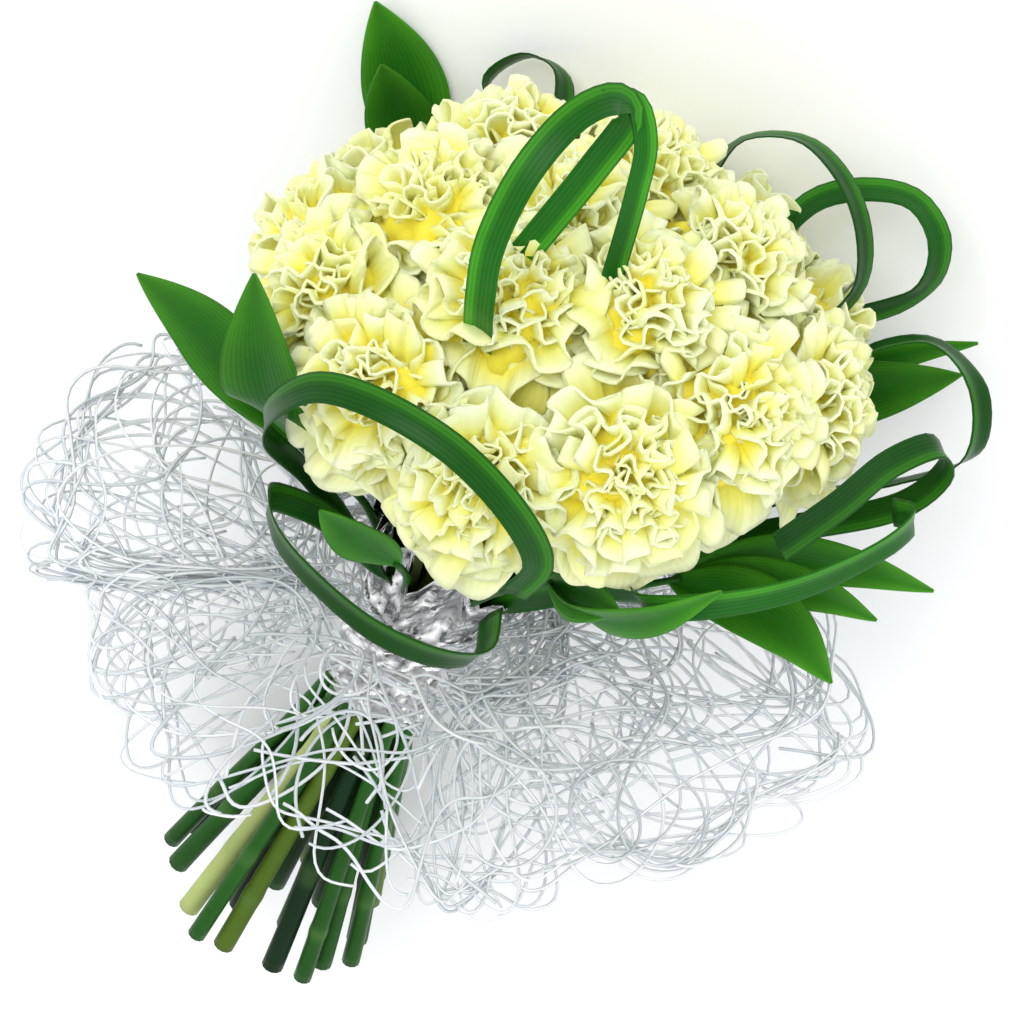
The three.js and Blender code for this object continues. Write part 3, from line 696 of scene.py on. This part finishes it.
def add_heart(build, centre, turn, draw):
    """The crowded innermost petals, which close the gaps between the others, as one ridged form."""
    polar = np.radians(np.linspace(*HEART_POLAR_RANGE, HEART_ROWS))[:, None]
    azimuth = np.linspace(0, 2 * math.pi, HEART_COLUMNS, endpoint=False)[None, :]
    broad_phase, narrow_phase = draw.uniform(0, 2 * math.pi, 2)
    ridges = BROAD_RIDGE * np.sin(8 * azimuth + 6 * polar + broad_phase)
    ridges = ridges + NARROW_RIDGE * np.sin(11 * azimuth - 13 * polar + narrow_phase)
    under = smooth_step(*np.radians(HEART_TAPER), polar)
    body = HEART_REACH * (1 - HEART_TAPER_SHARE * under)
    radius = BLOOM_RADIUS * (body + ridges * np.sin(polar))
    out, height = radius * np.sin(polar), radius * np.cos(polar)
    local = np.stack([out * np.cos(azimuth), out * np.sin(azimuth), height], -1)
    points, _ = pressed(local @ turn.T, centre)
    tint = mix(HEART_COLOUR, UNDER_COLOUR, under + 0 * azimuth)
    build.add_rings(lifted(points + centre, PRESSED_HEIGHT), tint, inside_out=True)


def make_bloom(index, material):
    centre, facing, _, _ = BLOOMS[index]
    draw = np.random.default_rng(900 + index)
    turn = turn_between((0, 0, 1), facing)
    build = Build()
    spin = draw.uniform(0, 2 * math.pi)
    for number, ring in enumerate(PETAL_RINGS):
        for k in range(ring["count"]):
            azimuth = spin + 2 * math.pi * (k + 0.5 * (number % 2)) / ring["count"]
            azimuth = azimuth + draw.normal(0, AZIMUTH_SPREAD)
            add_petal(build, ring, azimuth, centre, turn, draw)
    down = np.array([0, 0, -1]) @ turn
    for bloom, shift, reach in HANGING_PETALS:
        if bloom == index:
            ring = {**HANGING_PETAL, "reach": reach}
            add_petal(build, ring, math.atan2(down[1], down[0]) + shift, centre, turn, draw)
    add_heart(build, centre, turn, draw)
    build.piece(f"carnation_bloom_{index + 1}", material, [f"bloom_{index + 1}"])


# Stems and calyxes

def lower_stations(slot, spread):
    """Where a stem runs from its cut end through its slot in the tie."""
    cut = slot * spread + [0, 0, STEM_END]
    return [cut, slot + [0, 0, -TIE_HALF_LENGTH], slot + [0, 0, TIE_HALF_LENGTH]]


STEM_COLOURS = [(0.010, 0.055, 0.006), (0.075, 0.14, 0.010), (0.004, 0.024, 0.006), (0.014, 0.085, 0.008)]
SPRAY_STEM_COLOUR = STEM_COLOURS[3]
PALE_STEM = (0.42, 0.50, 0.17)
PALE_STEMS = (8,)
JOINT_COLOUR = (0.12, 0.24, 0.06)
JOINT_TINT = 0.3
CUT_COLOUR = (0.55, 0.62, 0.30)
CALYX_COLOUR = (0.22, 0.36, 0.14)


def add_stem(build, path, radius, bend, tapers, colour, draw):
    """A stem along a path, with swollen joints and tapers at its cut, the tie, bend and its end.

    bend is counted from the cut, or from the end where it is negative. Gives places and radii."""
    stations, _, length = even_stations(catmull_rom(path), STEM_STATIONS)
    lengths = np.linspace(0, length, STEM_STATIONS)
    end = length + JOINTS_PAST_END
    joints = np.arange(draw.uniform(*FIRST_JOINT), end, draw.uniform(*JOINT_SPACING))
    near = np.exp(-((lengths[:, None] - joints) / JOINT_HALF_LENGTH) ** 2).sum(1)
    places = [0, -STEM_END, bend if bend > 0 else length + bend, length]
    radii = radius * (1 + JOINT_SWELL * near) * np.interp(lengths, places, tapers)
    streak = 1 + 0.12 * np.sin(np.linspace(0, 9, STEM_STATIONS) + draw.uniform(0, 6))
    colours = mix(np.outer(streak, colour), JOINT_COLOUR, JOINT_TINT * np.clip(near, 0, 1))
    build.add_rings(tube(stations, radii, STEM_SIDES), np.repeat(colours, STEM_SIDES, axis=0))
    return stations, radii


def make_stem(index, material):
    centre, facing, slot, bow = BLOOMS[index]
    draw = np.random.default_rng(300 + index)
    calyx_base = centre - facing * (BLOOM_BASE + CALYX[0][1])
    neck = calyx_base - facing * NECK_BEND - [0, 0, NECK_BEND]
    half = (neck + slot + [0, 0, TIE_HALF_LENGTH]) / 2 * [bow, bow, 1]
    route = [*lower_stations(slot, CUT_SPREAD), half, neck, calyx_base]
    radius = STEM_RADIUS * draw.uniform(*RADIUS_FACTOR)
    tapers = [CUT_SWELL, 1, 1, NECK_TAPER]
    base = PALE_STEM if index in PALE_STEMS else STEM_COLOURS[index % len(STEM_COLOURS)]
    build = Build()
    stations, radii = add_stem(build, route, radius, -NECK_LENGTH, tapers, base, draw)
    outwards = unit(stations[0] - stations[1])
    face = stations[0] + outwards * CUT_FACE_STEP
    cut = [face - outwards * CUT_FACE_DEPTH, face]
    build.add_rings(tube(cut, radii[0] * CUT_FACE_SHARE, STEM_SIDES), CUT_COLOUR)
    add_calyx(build, centre, facing, base)
    build.piece(f"carnation_stem_{index + 1}", material, [f"stem_{index + 1}"])


def add_calyx(build, centre, facing, base):
    """The green tube under a bloom, with teeth round its mouth."""
    radii, drops = np.transpose(CALYX[::-1])
    stations = centre - facing * (BLOOM_BASE + CALYX_DROPS[:, None])
    rings = tube(stations, np.interp(CALYX_DROPS, drops, radii), CALYX_SIDES)
    teeth = np.cos(CALYX_TEETH * 2 * np.pi * np.arange(CALYX_SIDES) / CALYX_SIDES)
    rings[-1] += facing * (teeth * TOOTH_HEIGHT - TOOTH_HEIGHT)[:, None]
    colours = mix(base, CALYX_COLOUR, np.linspace(0.4, 0.9, len(CALYX_DROPS)))
    build.add_rings(rings, np.repeat(colours, CALYX_SIDES, axis=0))


# Leaves and grass blades

def band_rows(stations, directions, facings, half_widths, section, columns):
    """Rows across a band. section(across, half width) is its height, with across from -1 to 1."""
    side = unit(np.cross(directions, facings))
    face = np.cross(side, directions)
    across = np.linspace(1, -1, columns)
    width = half_widths[:, None, None] * across[None, :, None]
    height = section(across[None, :], half_widths[:, None])[..., None]
    return stations[:, None] + side[:, None] * width + face[:, None] * height


LEAF_COLOUR = (0.013, 0.11, 0.006)
LEAF_LIGHT = (0.055, 0.24, 0.012)
LEAF_BRIGHTNESS = (0.8, 1.25)
BLADE_COLOUR = (0.006, 0.062, 0.004)
# Painted highlight: a lighter green for a stripe along one side of each blade, standing in for light
# glancing off it
PAINTED_BLADE_HIGHLIGHT = (0.026, 0.15, 0.007)
BLADE_BRIGHTNESS = {"top": 1.9, "bottom_wide": 1.5, "right_wide": 1.3}


def add_leaf(build, root, leaf, draw):
    through, half_width, facing = leaf
    stations, directions, _ = even_stations(catmull_rom([root, *through]), LEAF_ROWS)
    share = np.linspace(0, 1, LEAF_ROWS)
    wave = draw.uniform(0, 6)

    def section(across, half):
        side = np.abs(across)
        keel = -LEAF_KEEL * half / LEAF_KEEL_AT * (1 - side) ** 1.3
        ripple = np.sin(9 * share[:, None] + wave + 1.5 * across)
        return keel + LEAF_RIPPLE * half * side ** 2 * ripple

    # A narrow foot, and a point at the tip
    half = LEAF_FOOT_HALF_WIDTH + half_width * np.maximum(0, 1 - np.abs(2 * share ** 0.9 - 1) ** 1.9)
    points = band_rows(stations, directions, np.array(facing), half, section, LEAF_COLUMNS)
    side = np.abs(np.linspace(-1, 1, LEAF_COLUMNS))[None, :]
    light = 0.5 * smooth_step(0.2, 1.0, side) + 0.4 * smooth_step(0.6, 1.0, share[:, None])
    tint = mix(LEAF_COLOUR, LEAF_LIGHT, light) * draw.uniform(*LEAF_BRIGHTNESS)
    marks = vein_marks(share[:, None], LEAF_COLUMNS, 0.5)
    build.add_shell(points, LEAF_THICKNESS, tint, marks)


def make_spray(number, name, spray, material):
    azimuth, route, leaves = spray
    draw = np.random.default_rng(500 + number)
    slot = ring_point(OUTER_SLOT_RING, azimuth)
    path = [*lower_stations(slot, SPRAY_CUT_SPREAD), *np.array(route, float)]
    bend = np.linalg.norm(path[3] - path[2]) + np.linalg.norm(path[2] - path[0])
    tapers = [CUT_SWELL, 1, SPRAY_NECK_TAPER, SPRAY_TIP_TAPER]
    build = Build()
    add_stem(build, path, SPRAY_STEM_RADIUS, bend, tapers, SPRAY_STEM_COLOUR, draw)
    root = np.array(route[-2]) * 0.1 + np.array(route[-1]) * 0.9
    for leaf in leaves:
        add_leaf(build, root, leaf, draw)
    build.piece(f"leafy_stem_{name}", material, [f"spray_{name}"])


def add_blade(build, route, azimuth, centre, draw, scale, brightness):
    route = [np.array(point, float) for point in route]
    if azimuth is not None:
        slot = ring_point(GRASS_SLOT_RING, azimuth)
        above = slot + [0, 0, TIE_HALF_LENGTH + GRASS_CLEAR_OF_TIE]
        route = [slot + [0, 0, GRASS_FOOT], slot, above, *route]
    curve = catmull_rom(route)
    length = even_stations(curve, 4)[2]
    rows = max(24, int(length / GRASS_STEP))
    stations, directions, _ = even_stations(curve, rows)
    share = np.linspace(0, 1, rows)
    half = np.full(rows, GRASS_HALF_WIDTH * scale)
    facings = stations - np.array(centre)
    if azimuth is not None:
        tie_share = (TIE_HALF_LENGTH - GRASS_FOOT) / length
        opened = smooth_step(tie_share, tie_share * 2, share)
        half = GRASS_TIE_HALF_WIDTH * (1 - opened) + GRASS_HALF_WIDTH * opened
        free = smooth_step(TIE_HALF_LENGTH * 1.6, TIE_HALF_LENGTH * 2.4, stations[:, 2])[:, None]
        facings = unit(stations * [1, 1, 0]) * (1 - free) + unit(facings) * free
    fold = draw.uniform(*GRASS_FOLD)

    def section(across, half):
        return -fold * half * (1 - np.abs(across))

    points = band_rows(stations, directions, facings, half, section, GRASS_COLUMNS)
    side = np.linspace(-1, 1, GRASS_COLUMNS)[None, :]
    # Painted highlight: the blade is lighter in a stripe along one side
    light = smooth_step(0.1, 0.7, side) * smooth_step(1.1, 0.7, side)
    tint = mix(BLADE_COLOUR, PAINTED_BLADE_HIGHLIGHT, light + 0 * share[:, None])
    tint = tint * brightness * (1 + 0.2 * np.sin(7 * share + draw.uniform(0, 6)))[:, None, None]
    marks = vein_marks(share[:, None] * length / 60, GRASS_COLUMNS, 0.5)
    build.add_shell(points, GRASS_THICKNESS, tint, marks)


def make_blade(number, name, grass, material):
    azimuth, centre, routes = grass
    draw = np.random.default_rng(700 + number)
    build = Build()
    brightness = BLADE_BRIGHTNESS.get(name, 1)
    for k, route in enumerate(routes):
        start, scale = (azimuth, 1.0) if k == 0 else (None, SECOND_ROUTE_SCALE)
        add_blade(build, route, start, centre, draw, scale, brightness)
    build.piece(f"grass_loop_{name}", material, [f"grass_blade_{name}"])


# Sleeve and collar

def uneven(draw, rows, columns):
    """Uneven values on a grid."""
    return draw.uniform(-1, 1, (rows, columns))


def sampled(values, rows, columns):
    """A grid of values blown up to rows by columns, linear in between and joined up sideways."""
    values = np.concatenate([values, values[:, :1]], axis=1)
    r = np.linspace(0, values.shape[0] - 1.001, rows)
    c = np.linspace(0, values.shape[1] - 1, columns, endpoint=False)
    row, column = r.astype(int), c.astype(int)
    down, right = (r - row)[:, None], (c - column)[None, :]
    top = values[row][:, column] * (1 - right) + values[row][:, column + 1] * right
    below = values[row + 1][:, column] * (1 - right) + values[row + 1][:, column + 1] * right
    return top * (1 - down) + below * down


def crumpled(draw, rows, columns, broad, sharp):
    """Dents of foil on a grid: broad ones, and a sharper one at each point, up to as many mm."""
    coarse = uneven(draw, rows // DENT_ROWS, columns // DENT_COLUMNS)
    return broad * sampled(coarse, rows, columns) + sharp * uneven(draw, rows, columns)


def foil_colours(draw, count):
    """Greys of crumpled foil, with painted glints, bright greys that stand for reflected light, at some
    of the points.
    """
    # Painted highlights: points set bright at random, as glints of reflected light
    painted_glints = draw.uniform(size=count) < PAINTED_GLINT_SHARE
    grey = np.where(painted_glints, PAINTED_GLINT_GREY, draw.uniform(*FOIL_GREYS, count))
    return np.repeat(grey[:, None], 3, axis=1)


def make_sleeve(material):
    """A ribbon of foil wound round the stems and crumpled, with a gathered edge above it."""
    draw = np.random.default_rng(41)
    rows, columns = FOIL_ROWS, FOIL_COLUMNS
    heights = np.linspace(SLEEVE_PROFILE[0][1], SLEEVE_PROFILE[-1][1], rows)[:, None]
    profile_radii, profile_heights = np.transpose(SLEEVE_PROFILE)
    radius = np.interp(heights, profile_heights, profile_radii)
    dents = crumpled(draw, rows, columns, *SLEEVE_DENTS)
    angles = 2 * np.pi * np.arange(columns) / columns
    angles = angles + SLEEVE_STRAY * uneven(draw, rows, columns) / columns
    outer_radius = np.maximum(radius + dents, SLEEVE_INNER_RADIUS + FOIL_THICKNESS)
    lifts = SLEEVE_LIFT * uneven(draw, rows, columns)
    lifts[0] = lifts[-1] = 0
    round_axis = np.stack([np.cos(angles), np.sin(angles)], -1)
    outer = np.dstack([outer_radius[..., None] * round_axis, heights + lifts])
    inner = np.dstack([SLEEVE_INNER_RADIUS * round_axis, heights + 0 * angles])
    quads = grid_quads(rows, columns, wrap=True)
    count = rows * columns
    index = np.arange(columns)
    after = (index + 1) % columns
    top = (rows - 1) * columns
    foot_rim = np.stack([index + count, after + count, after, index], -1)
    top_rim = np.stack([index, after, after + count, index + count], -1) + top
    faces = np.vstack([quads, quads[:, ::-1] + count, foot_rim, top_rim])
    points = np.vstack([outer.reshape(-1, 3), inner.reshape(-1, 3)])
    build = Build()
    build.add(points, faces, foil_colours(draw, len(points)))
    add_gathers(build, draw)
    build.piece("foil_sleeve", material, ["tie_sleeve"], smooth=False)


def add_gathers(build, draw):
    """The ribbon's upper edge, gathered into folds that stand out round the stems."""
    rows, columns = GATHER_ROWS, FOIL_COLUMNS
    share = np.linspace(0, 1, rows)[:, None]
    angles = np.linspace(0, 2 * np.pi, columns + 1)[None, :]
    ragged = 1 + 0.16 * np.sin(7 * angles + 1) + 0.12 * np.sin(17 * angles)
    folds = np.sin(9 * angles + 0.7 * np.sin(5 * angles)) + 0.4 * np.sin(19 * angles + 2 * share)
    dents = crumpled(draw, rows, columns, *GATHER_DENTS)
    dents = np.concatenate([dents, dents[:, :1]], axis=1)
    low = SLEEVE_PROFILE[-1][1] - GATHER_START
    uneven_radius = (GATHER_FOLD_HEIGHT * folds + GATHER_DENT_SHARE * dents) * share
    radius = np.interp(share, *GATHER_RADII) + uneven_radius
    height = low + (GATHER_TOP - low) * share * ragged + dents * share
    points = np.stack([radius * np.cos(angles), radius * np.sin(angles), height], -1)
    closed, faces = shell(points, FOIL_THICKNESS)
    build.add(closed, faces, foil_colours(draw, len(closed)))


RIM_CURVE = catmull_rom(RIM, closed=True)


def collar_points(rounds, outs):
    """Places on the collar's surface: round it, and out from its foot to its rim."""
    edge = RIM_CURVE(np.mod(rounds, 1))
    azimuth = np.arctan2(edge[:, 1], edge[:, 0])
    direction = np.stack([np.cos(azimuth), np.sin(azimuth), 0 * azimuth], -1)
    foot = direction * FOOT_RADIUS + [0, 0, FOOT_HEIGHT]
    throat = direction * COLLAR_THROAT[0] + [0, 0, COLLAR_THROAT[1]]
    s = outs[:, None]
    return (1 - s) ** 2 * foot + 2 * (1 - s) * s * throat + s ** 2 * edge


def crowding(way_round):
    """How dense the web is there: thin over the stems, thick to their right."""
    return float(np.interp(way_round % 1, *np.transpose(WEB_CROWDING)))


def strand_route(draw, start_out, inner):
    """A strand that wanders over the collar in long curls, and turns back at the rim and at inner.

    It is given as shares of the way round and out. Where the web is thin it ends inwards of
    THIN_INNER, or with a free end by chance."""
    steps = draw.integers(*STRAND_LENGTHS)
    way_round = draw.uniform(0, 1)
    while draw.uniform() > crowding(way_round):
        way_round = draw.uniform(0, 1)
    out = start_out
    if start_out > RISING_START:
        heading = draw.uniform(0, 2 * math.pi)
    else:
        heading = math.pi / 2 + draw.normal(0, RISING_SPREAD)
    curl = draw.normal(0, CURL_START)
    rounds, outs = [], []
    for step in range(steps):
        rounds.append(way_round)
        outs.append(out)
        girth = 2 * math.pi * (FOOT_RADIUS + (COLLAR_REACH - FOOT_RADIUS) * out)
        way_round += STRAND_STEP * math.cos(heading) / girth
        out += STRAND_STEP * math.sin(heading) / COLLAR_REACH
        curl = CURL_KEPT * curl + draw.normal(0, CURL_CHANGE)
        heading += curl
        if out > RIM_ZONE and math.sin(heading) > RIM_HEADING:
            heading -= RIM_TURN * math.copysign(1, math.cos(heading))
            out = min(out, RIM_LIMIT)
        if out < inner and math.sin(heading) < 0:
            heading += INNER_TURN * math.copysign(1, math.cos(heading))
            out = max(out, FOOT_LIMIT)
        thin = crowding(way_round) < THIN_WEB
        if step > THIN_STEPS and thin and (out < THIN_INNER or draw.uniform() < FREE_END_CHANCE):
            break
    return np.array(rounds), np.array(outs)


STRAND_COLOURS = [(0.84, 0.88, 0.91), (0.70, 0.75, 0.79), (0.91, 0.94, 0.96)]
STRAND_BRIGHTNESS = (0.92, 1.05)


def make_collar(material):
    draw = np.random.default_rng(23)
    build = Build()
    for k in range(STRANDS):
        rises = k % RISING_EVERY == 0
        start_out = RISING_START if rises else draw.uniform(*START_RANGE)
        inner = RISING_INNER if rises else draw.uniform(*INNER_RANGE)
        rounds, outs = strand_route(draw, start_out, inner)
        offset = draw.normal(0, STRAND_OFFSET) * smooth_step(0.05, 0.4, outs)
        sway = STRAND_SWAY * np.sin(np.linspace(0, 7, len(outs)) + draw.uniform(0, 6)) * outs
        shift = np.stack([0 * outs, 0 * outs, offset + sway], -1)
        points = lifted(collar_points(rounds, outs) + shift, STRAND_CLEARANCE)
        radius = draw.uniform(*STRAND_RADII)
        colour = np.array(STRAND_COLOURS[k % len(STRAND_COLOURS)]) * draw.uniform(*STRAND_BRIGHTNESS)
        points[1:-1] = (points[:-2] + 2 * points[1:-1] + points[2:]) / 4
        stations = catmull_rom(points)(np.linspace(0, 1, int(STRAND_FINENESS * len(points))))
        build.add_rings(tube(stations, radius, STRAND_SIDES), colour)
    build.piece("strand_web", material, ["strand_collar"])


# Materials

# Each material: its shader's inputs, how uneven its tint is and by how fine a noise, its number of
# veins and how much they change the tint, and the strength and height of its bump
MATERIALS = {
    "carnation_petal": {
        "look": {"Roughness": 0.62, "Specular IOR Level": 0.3, "Sheen Weight": 0.15},
        "uneven": 0.05, "grain": 90, "veins": 14, "vein_depth": 0.015, "bump": 0.25, "rise": 0.0004},
    "stem_skin": {
        "look": {"Roughness": 0.45, "Specular IOR Level": 0.12},
        "uneven": 0.22, "grain": 55, "bump": 0.2, "rise": 0.0006},
    "leaf_skin": {
        "look": {"Roughness": 0.36, "Specular IOR Level": 0.12},
        "uneven": 0.22, "grain": 55, "veins": 17, "vein_depth": 0.10, "bump": 0.1, "rise": 0.0005},
    "grass_skin": {
        "look": {"Roughness": 0.33, "Specular IOR Level": 0.12},
        "uneven": 0.22, "grain": 55, "veins": 7, "vein_depth": 0.14, "bump": 0.06, "rise": 0.0005},
    "crumpled_foil": {
        "look": {"Roughness": 0.16, "Metallic": 1},
        "uneven": 0.15, "grain": 300, "bump": 0.4, "rise": 0.001},
    "collar_strand": {
        "look": {"Roughness": 0.42, "Sheen Weight": 0.2},
        "uneven": 0.1, "grain": 160, "bump": 0.3, "rise": 0.0004},
}


class Surface:
    """A material that is built up node by node round its shader."""

    def __init__(self, name, inputs):
        self.material = bpy.data.materials.new(name)
        self.material.use_nodes = True
        self.nodes = self.material.node_tree.nodes
        self.shader = self.nodes["Principled BSDF"]
        for key, value in inputs.items():
            self.shader.inputs[key].default_value = value

    def node(self, kind, **values):
        """A new node, with each value given to the input of that name, or else to the property."""
        made = self.nodes.new(kind)
        for key, value in values.items():
            if key in made.inputs:
                made.inputs[key].default_value = value
            else:
                setattr(made, key, value)
        return made

    def link(self, source, target):
        self.material.node_tree.links.new(source, target)

    def calculate(self, operation, *values):
        """The result of an operation on numbers and on the outputs of nodes."""
        made = self.node("ShaderNodeMath", operation=operation)
        for socket, value in zip(made.inputs, values):
            if isinstance(value, float):
                socket.default_value = value
            else:
                self.link(value, socket)
        return made.outputs[0]

    def veins(self, count):
        """A wave of count ribs across a petal, leaf or blade, which run its length."""
        mark = self.node("ShaderNodeAttribute", attribute_name="mark")
        split = self.node("ShaderNodeSeparateColor")
        self.link(mark.outputs["Color"], split.inputs["Color"])
        wave = self.calculate("MULTIPLY", split.outputs["Green"], count * 2 * math.pi)
        return self.calculate("SINE", wave)

    def tint(self, uneven_by, scale, veins, vein_depth):
        """Base colour from the piece's own tint, uneven by a noise, and striped by any veins.

        Gives the noise."""
        tint = self.node("ShaderNodeAttribute", attribute_name="tint")
        place = self.node("ShaderNodeTexCoord")
        noise = self.node("ShaderNodeTexNoise", Scale=scale, Detail=4.0)
        self.link(place.outputs["Object"], noise.inputs["Vector"])
        spread = self.node("ShaderNodeMapRange")
        spread.inputs["To Min"].default_value = 1 - uneven_by
        spread.inputs["To Max"].default_value = 1 + uneven_by
        self.link(noise.outputs["Fac"], spread.inputs["Value"])
        strength = spread.outputs["Result"]
        if veins is not None:
            strength = self.calculate("MULTIPLY_ADD", veins, vein_depth, strength)
        scaled = self.node("ShaderNodeVectorMath", operation="SCALE")
        self.link(tint.outputs["Color"], scaled.inputs[0])
        self.link(strength, scaled.inputs["Scale"])
        self.link(scaled.outputs["Vector"], self.shader.inputs["Base Color"])
        return noise.outputs["Fac"]

    def bump(self, height, strength, distance):
        """Lets the surface rise and fall with height, by a distance in metres."""
        made = self.node("ShaderNodeBump", Strength=strength, Distance=distance)
        self.link(height, made.inputs["Height"])
        self.link(made.outputs["Normal"], self.shader.inputs["Normal"])


def make_material(name):
    values = MATERIALS[name]
    surface = Surface(name, values["look"])
    veins = surface.veins(values["veins"]) if "veins" in values else None
    height = surface.tint(values["uneven"], values["grain"], veins, values.get("vein_depth"))
    if veins is not None:
        height = surface.calculate("ADD", veins, height)
    surface.bump(height, values["bump"], values["rise"])
    return surface.material


# Floor, lights and camera

FLOOR_HALF_WIDTH = 4
FLOOR_COLOURS = [(0.93, 0.935, 0.94, 1), (0.95, 0.955, 0.96, 1)]
KEY_LIGHT = {"at": (0.45, -1.0, 1.4), "size": 0.8, "power": 8}
FILL_LIGHT = {"at": (-1.2, 0.5, 1.1), "size": 1.4, "power": 3}
WORLD_COLOUR = (0.98, 0.99, 1.0, 1)
WORLD_STRENGTH = 1.06


def add_floor():
    mesh = bpy.data.meshes.new("floor")
    half = FLOOR_HALF_WIDTH
    corners = [(-half, -half, 0), (half, -half, 0), (half, half, 0), (-half, half, 0)]
    mesh.from_pydata(corners, [], [(0, 1, 2, 3)])
    floor = add_object("floor", mesh)
    surface = Surface("pale_floor", {"Roughness": 0.7})
    noise = surface.node("ShaderNodeTexNoise", Scale=6.0)
    blend = surface.node("ShaderNodeMix", data_type="RGBA")
    blend.inputs[6].default_value, blend.inputs[7].default_value = FLOOR_COLOURS
    surface.link(noise.outputs["Fac"], blend.inputs[0])
    surface.link(blend.outputs[2], surface.shader.inputs["Base Color"])
    mesh.materials.append(surface.material)


def add_light(name, target, at, size, power):
    """A round area light at a place, which shines on target."""
    data = bpy.data.lights.new(name, "AREA")
    data.shape = "DISK"
    data.size = size
    data.energy = power
    light = add_object(name, data)
    light.location = at
    light.rotation_euler = (target - Vector(at)).to_track_quat("-Z", "Y").to_euler()


def add_lights():
    head = Vector(lie_down(HEAD_CENTRE))
    add_light("key_light", head, **KEY_LIGHT)
    add_light("fill_light", head, **FILL_LIGHT)
    world = bpy.data.worlds.new("studio")
    bpy.context.scene.world = world
    world.use_nodes = True
    background = world.node_tree.nodes["Background"]
    background.inputs["Color"].default_value = WORLD_COLOUR
    background.inputs["Strength"].default_value = WORLD_STRENGTH
    bpy.context.scene.view_settings.view_transform = "Standard"


def add_camera():
    """The camera of the photographed view, turned so that CAMERA_TARGET shows at HEAD_PIXEL."""
    climb = CAMERA_POLAR + TILT
    towards = np.array([0, -math.cos(climb), math.sin(climb)])
    level = np.array([-1, 0, 0])
    rise = np.array([0, -math.sin(climb), -math.cos(climb)])
    right = level * math.cos(CAMERA_ROLL) + rise * math.sin(CAMERA_ROLL)
    up = -level * math.sin(CAMERA_ROLL) + rise * math.cos(CAMERA_ROLL)
    head = lie_down(CAMERA_TARGET)
    at = head + towards * CAMERA_DISTANCE
    middle = FRAME_PIXELS / 2
    aim = -towards * FOCAL_PIXELS + right * (middle - HEAD_PIXEL[0]) - up * (middle - HEAD_PIXEL[1])
    back = -unit(aim)
    side = unit(right - back * (right @ back))
    data = bpy.data.cameras.new("camera")
    data.sensor_width = SENSOR
    data.lens = FOCAL_PIXELS * SENSOR / FRAME_PIXELS
    data.clip_start = CLIP_START
    camera = add_object("camera", data)
    axes = np.column_stack([side, np.cross(back, side), back])
    camera.matrix_world = Matrix.Translation(Vector(at)) @ Matrix(axes.tolist()).to_4x4()
    bpy.context.scene.camera = camera


petal_finish = make_material("carnation_petal")
for bloom_index in range(len(BLOOMS)):
    make_bloom(bloom_index, petal_finish)
stem_finish = make_material("stem_skin")
for stem_index in range(len(BLOOMS)):
    make_stem(stem_index, stem_finish)
leaf_finish = make_material("leaf_skin")
for spray_number, (spray_name, spray_parts) in enumerate(SPRAYS.items()):
    make_spray(spray_number, spray_name, spray_parts, leaf_finish)
blade_finish = make_material("grass_skin")
for blade_number, (blade_name, blade_parts) in enumerate(GRASS.items()):
    make_blade(blade_number, blade_name, blade_parts, blade_finish)
make_sleeve(make_material("crumpled_foil"))
make_collar(make_material("collar_strand"))
add_floor()
add_camera()
add_lights()
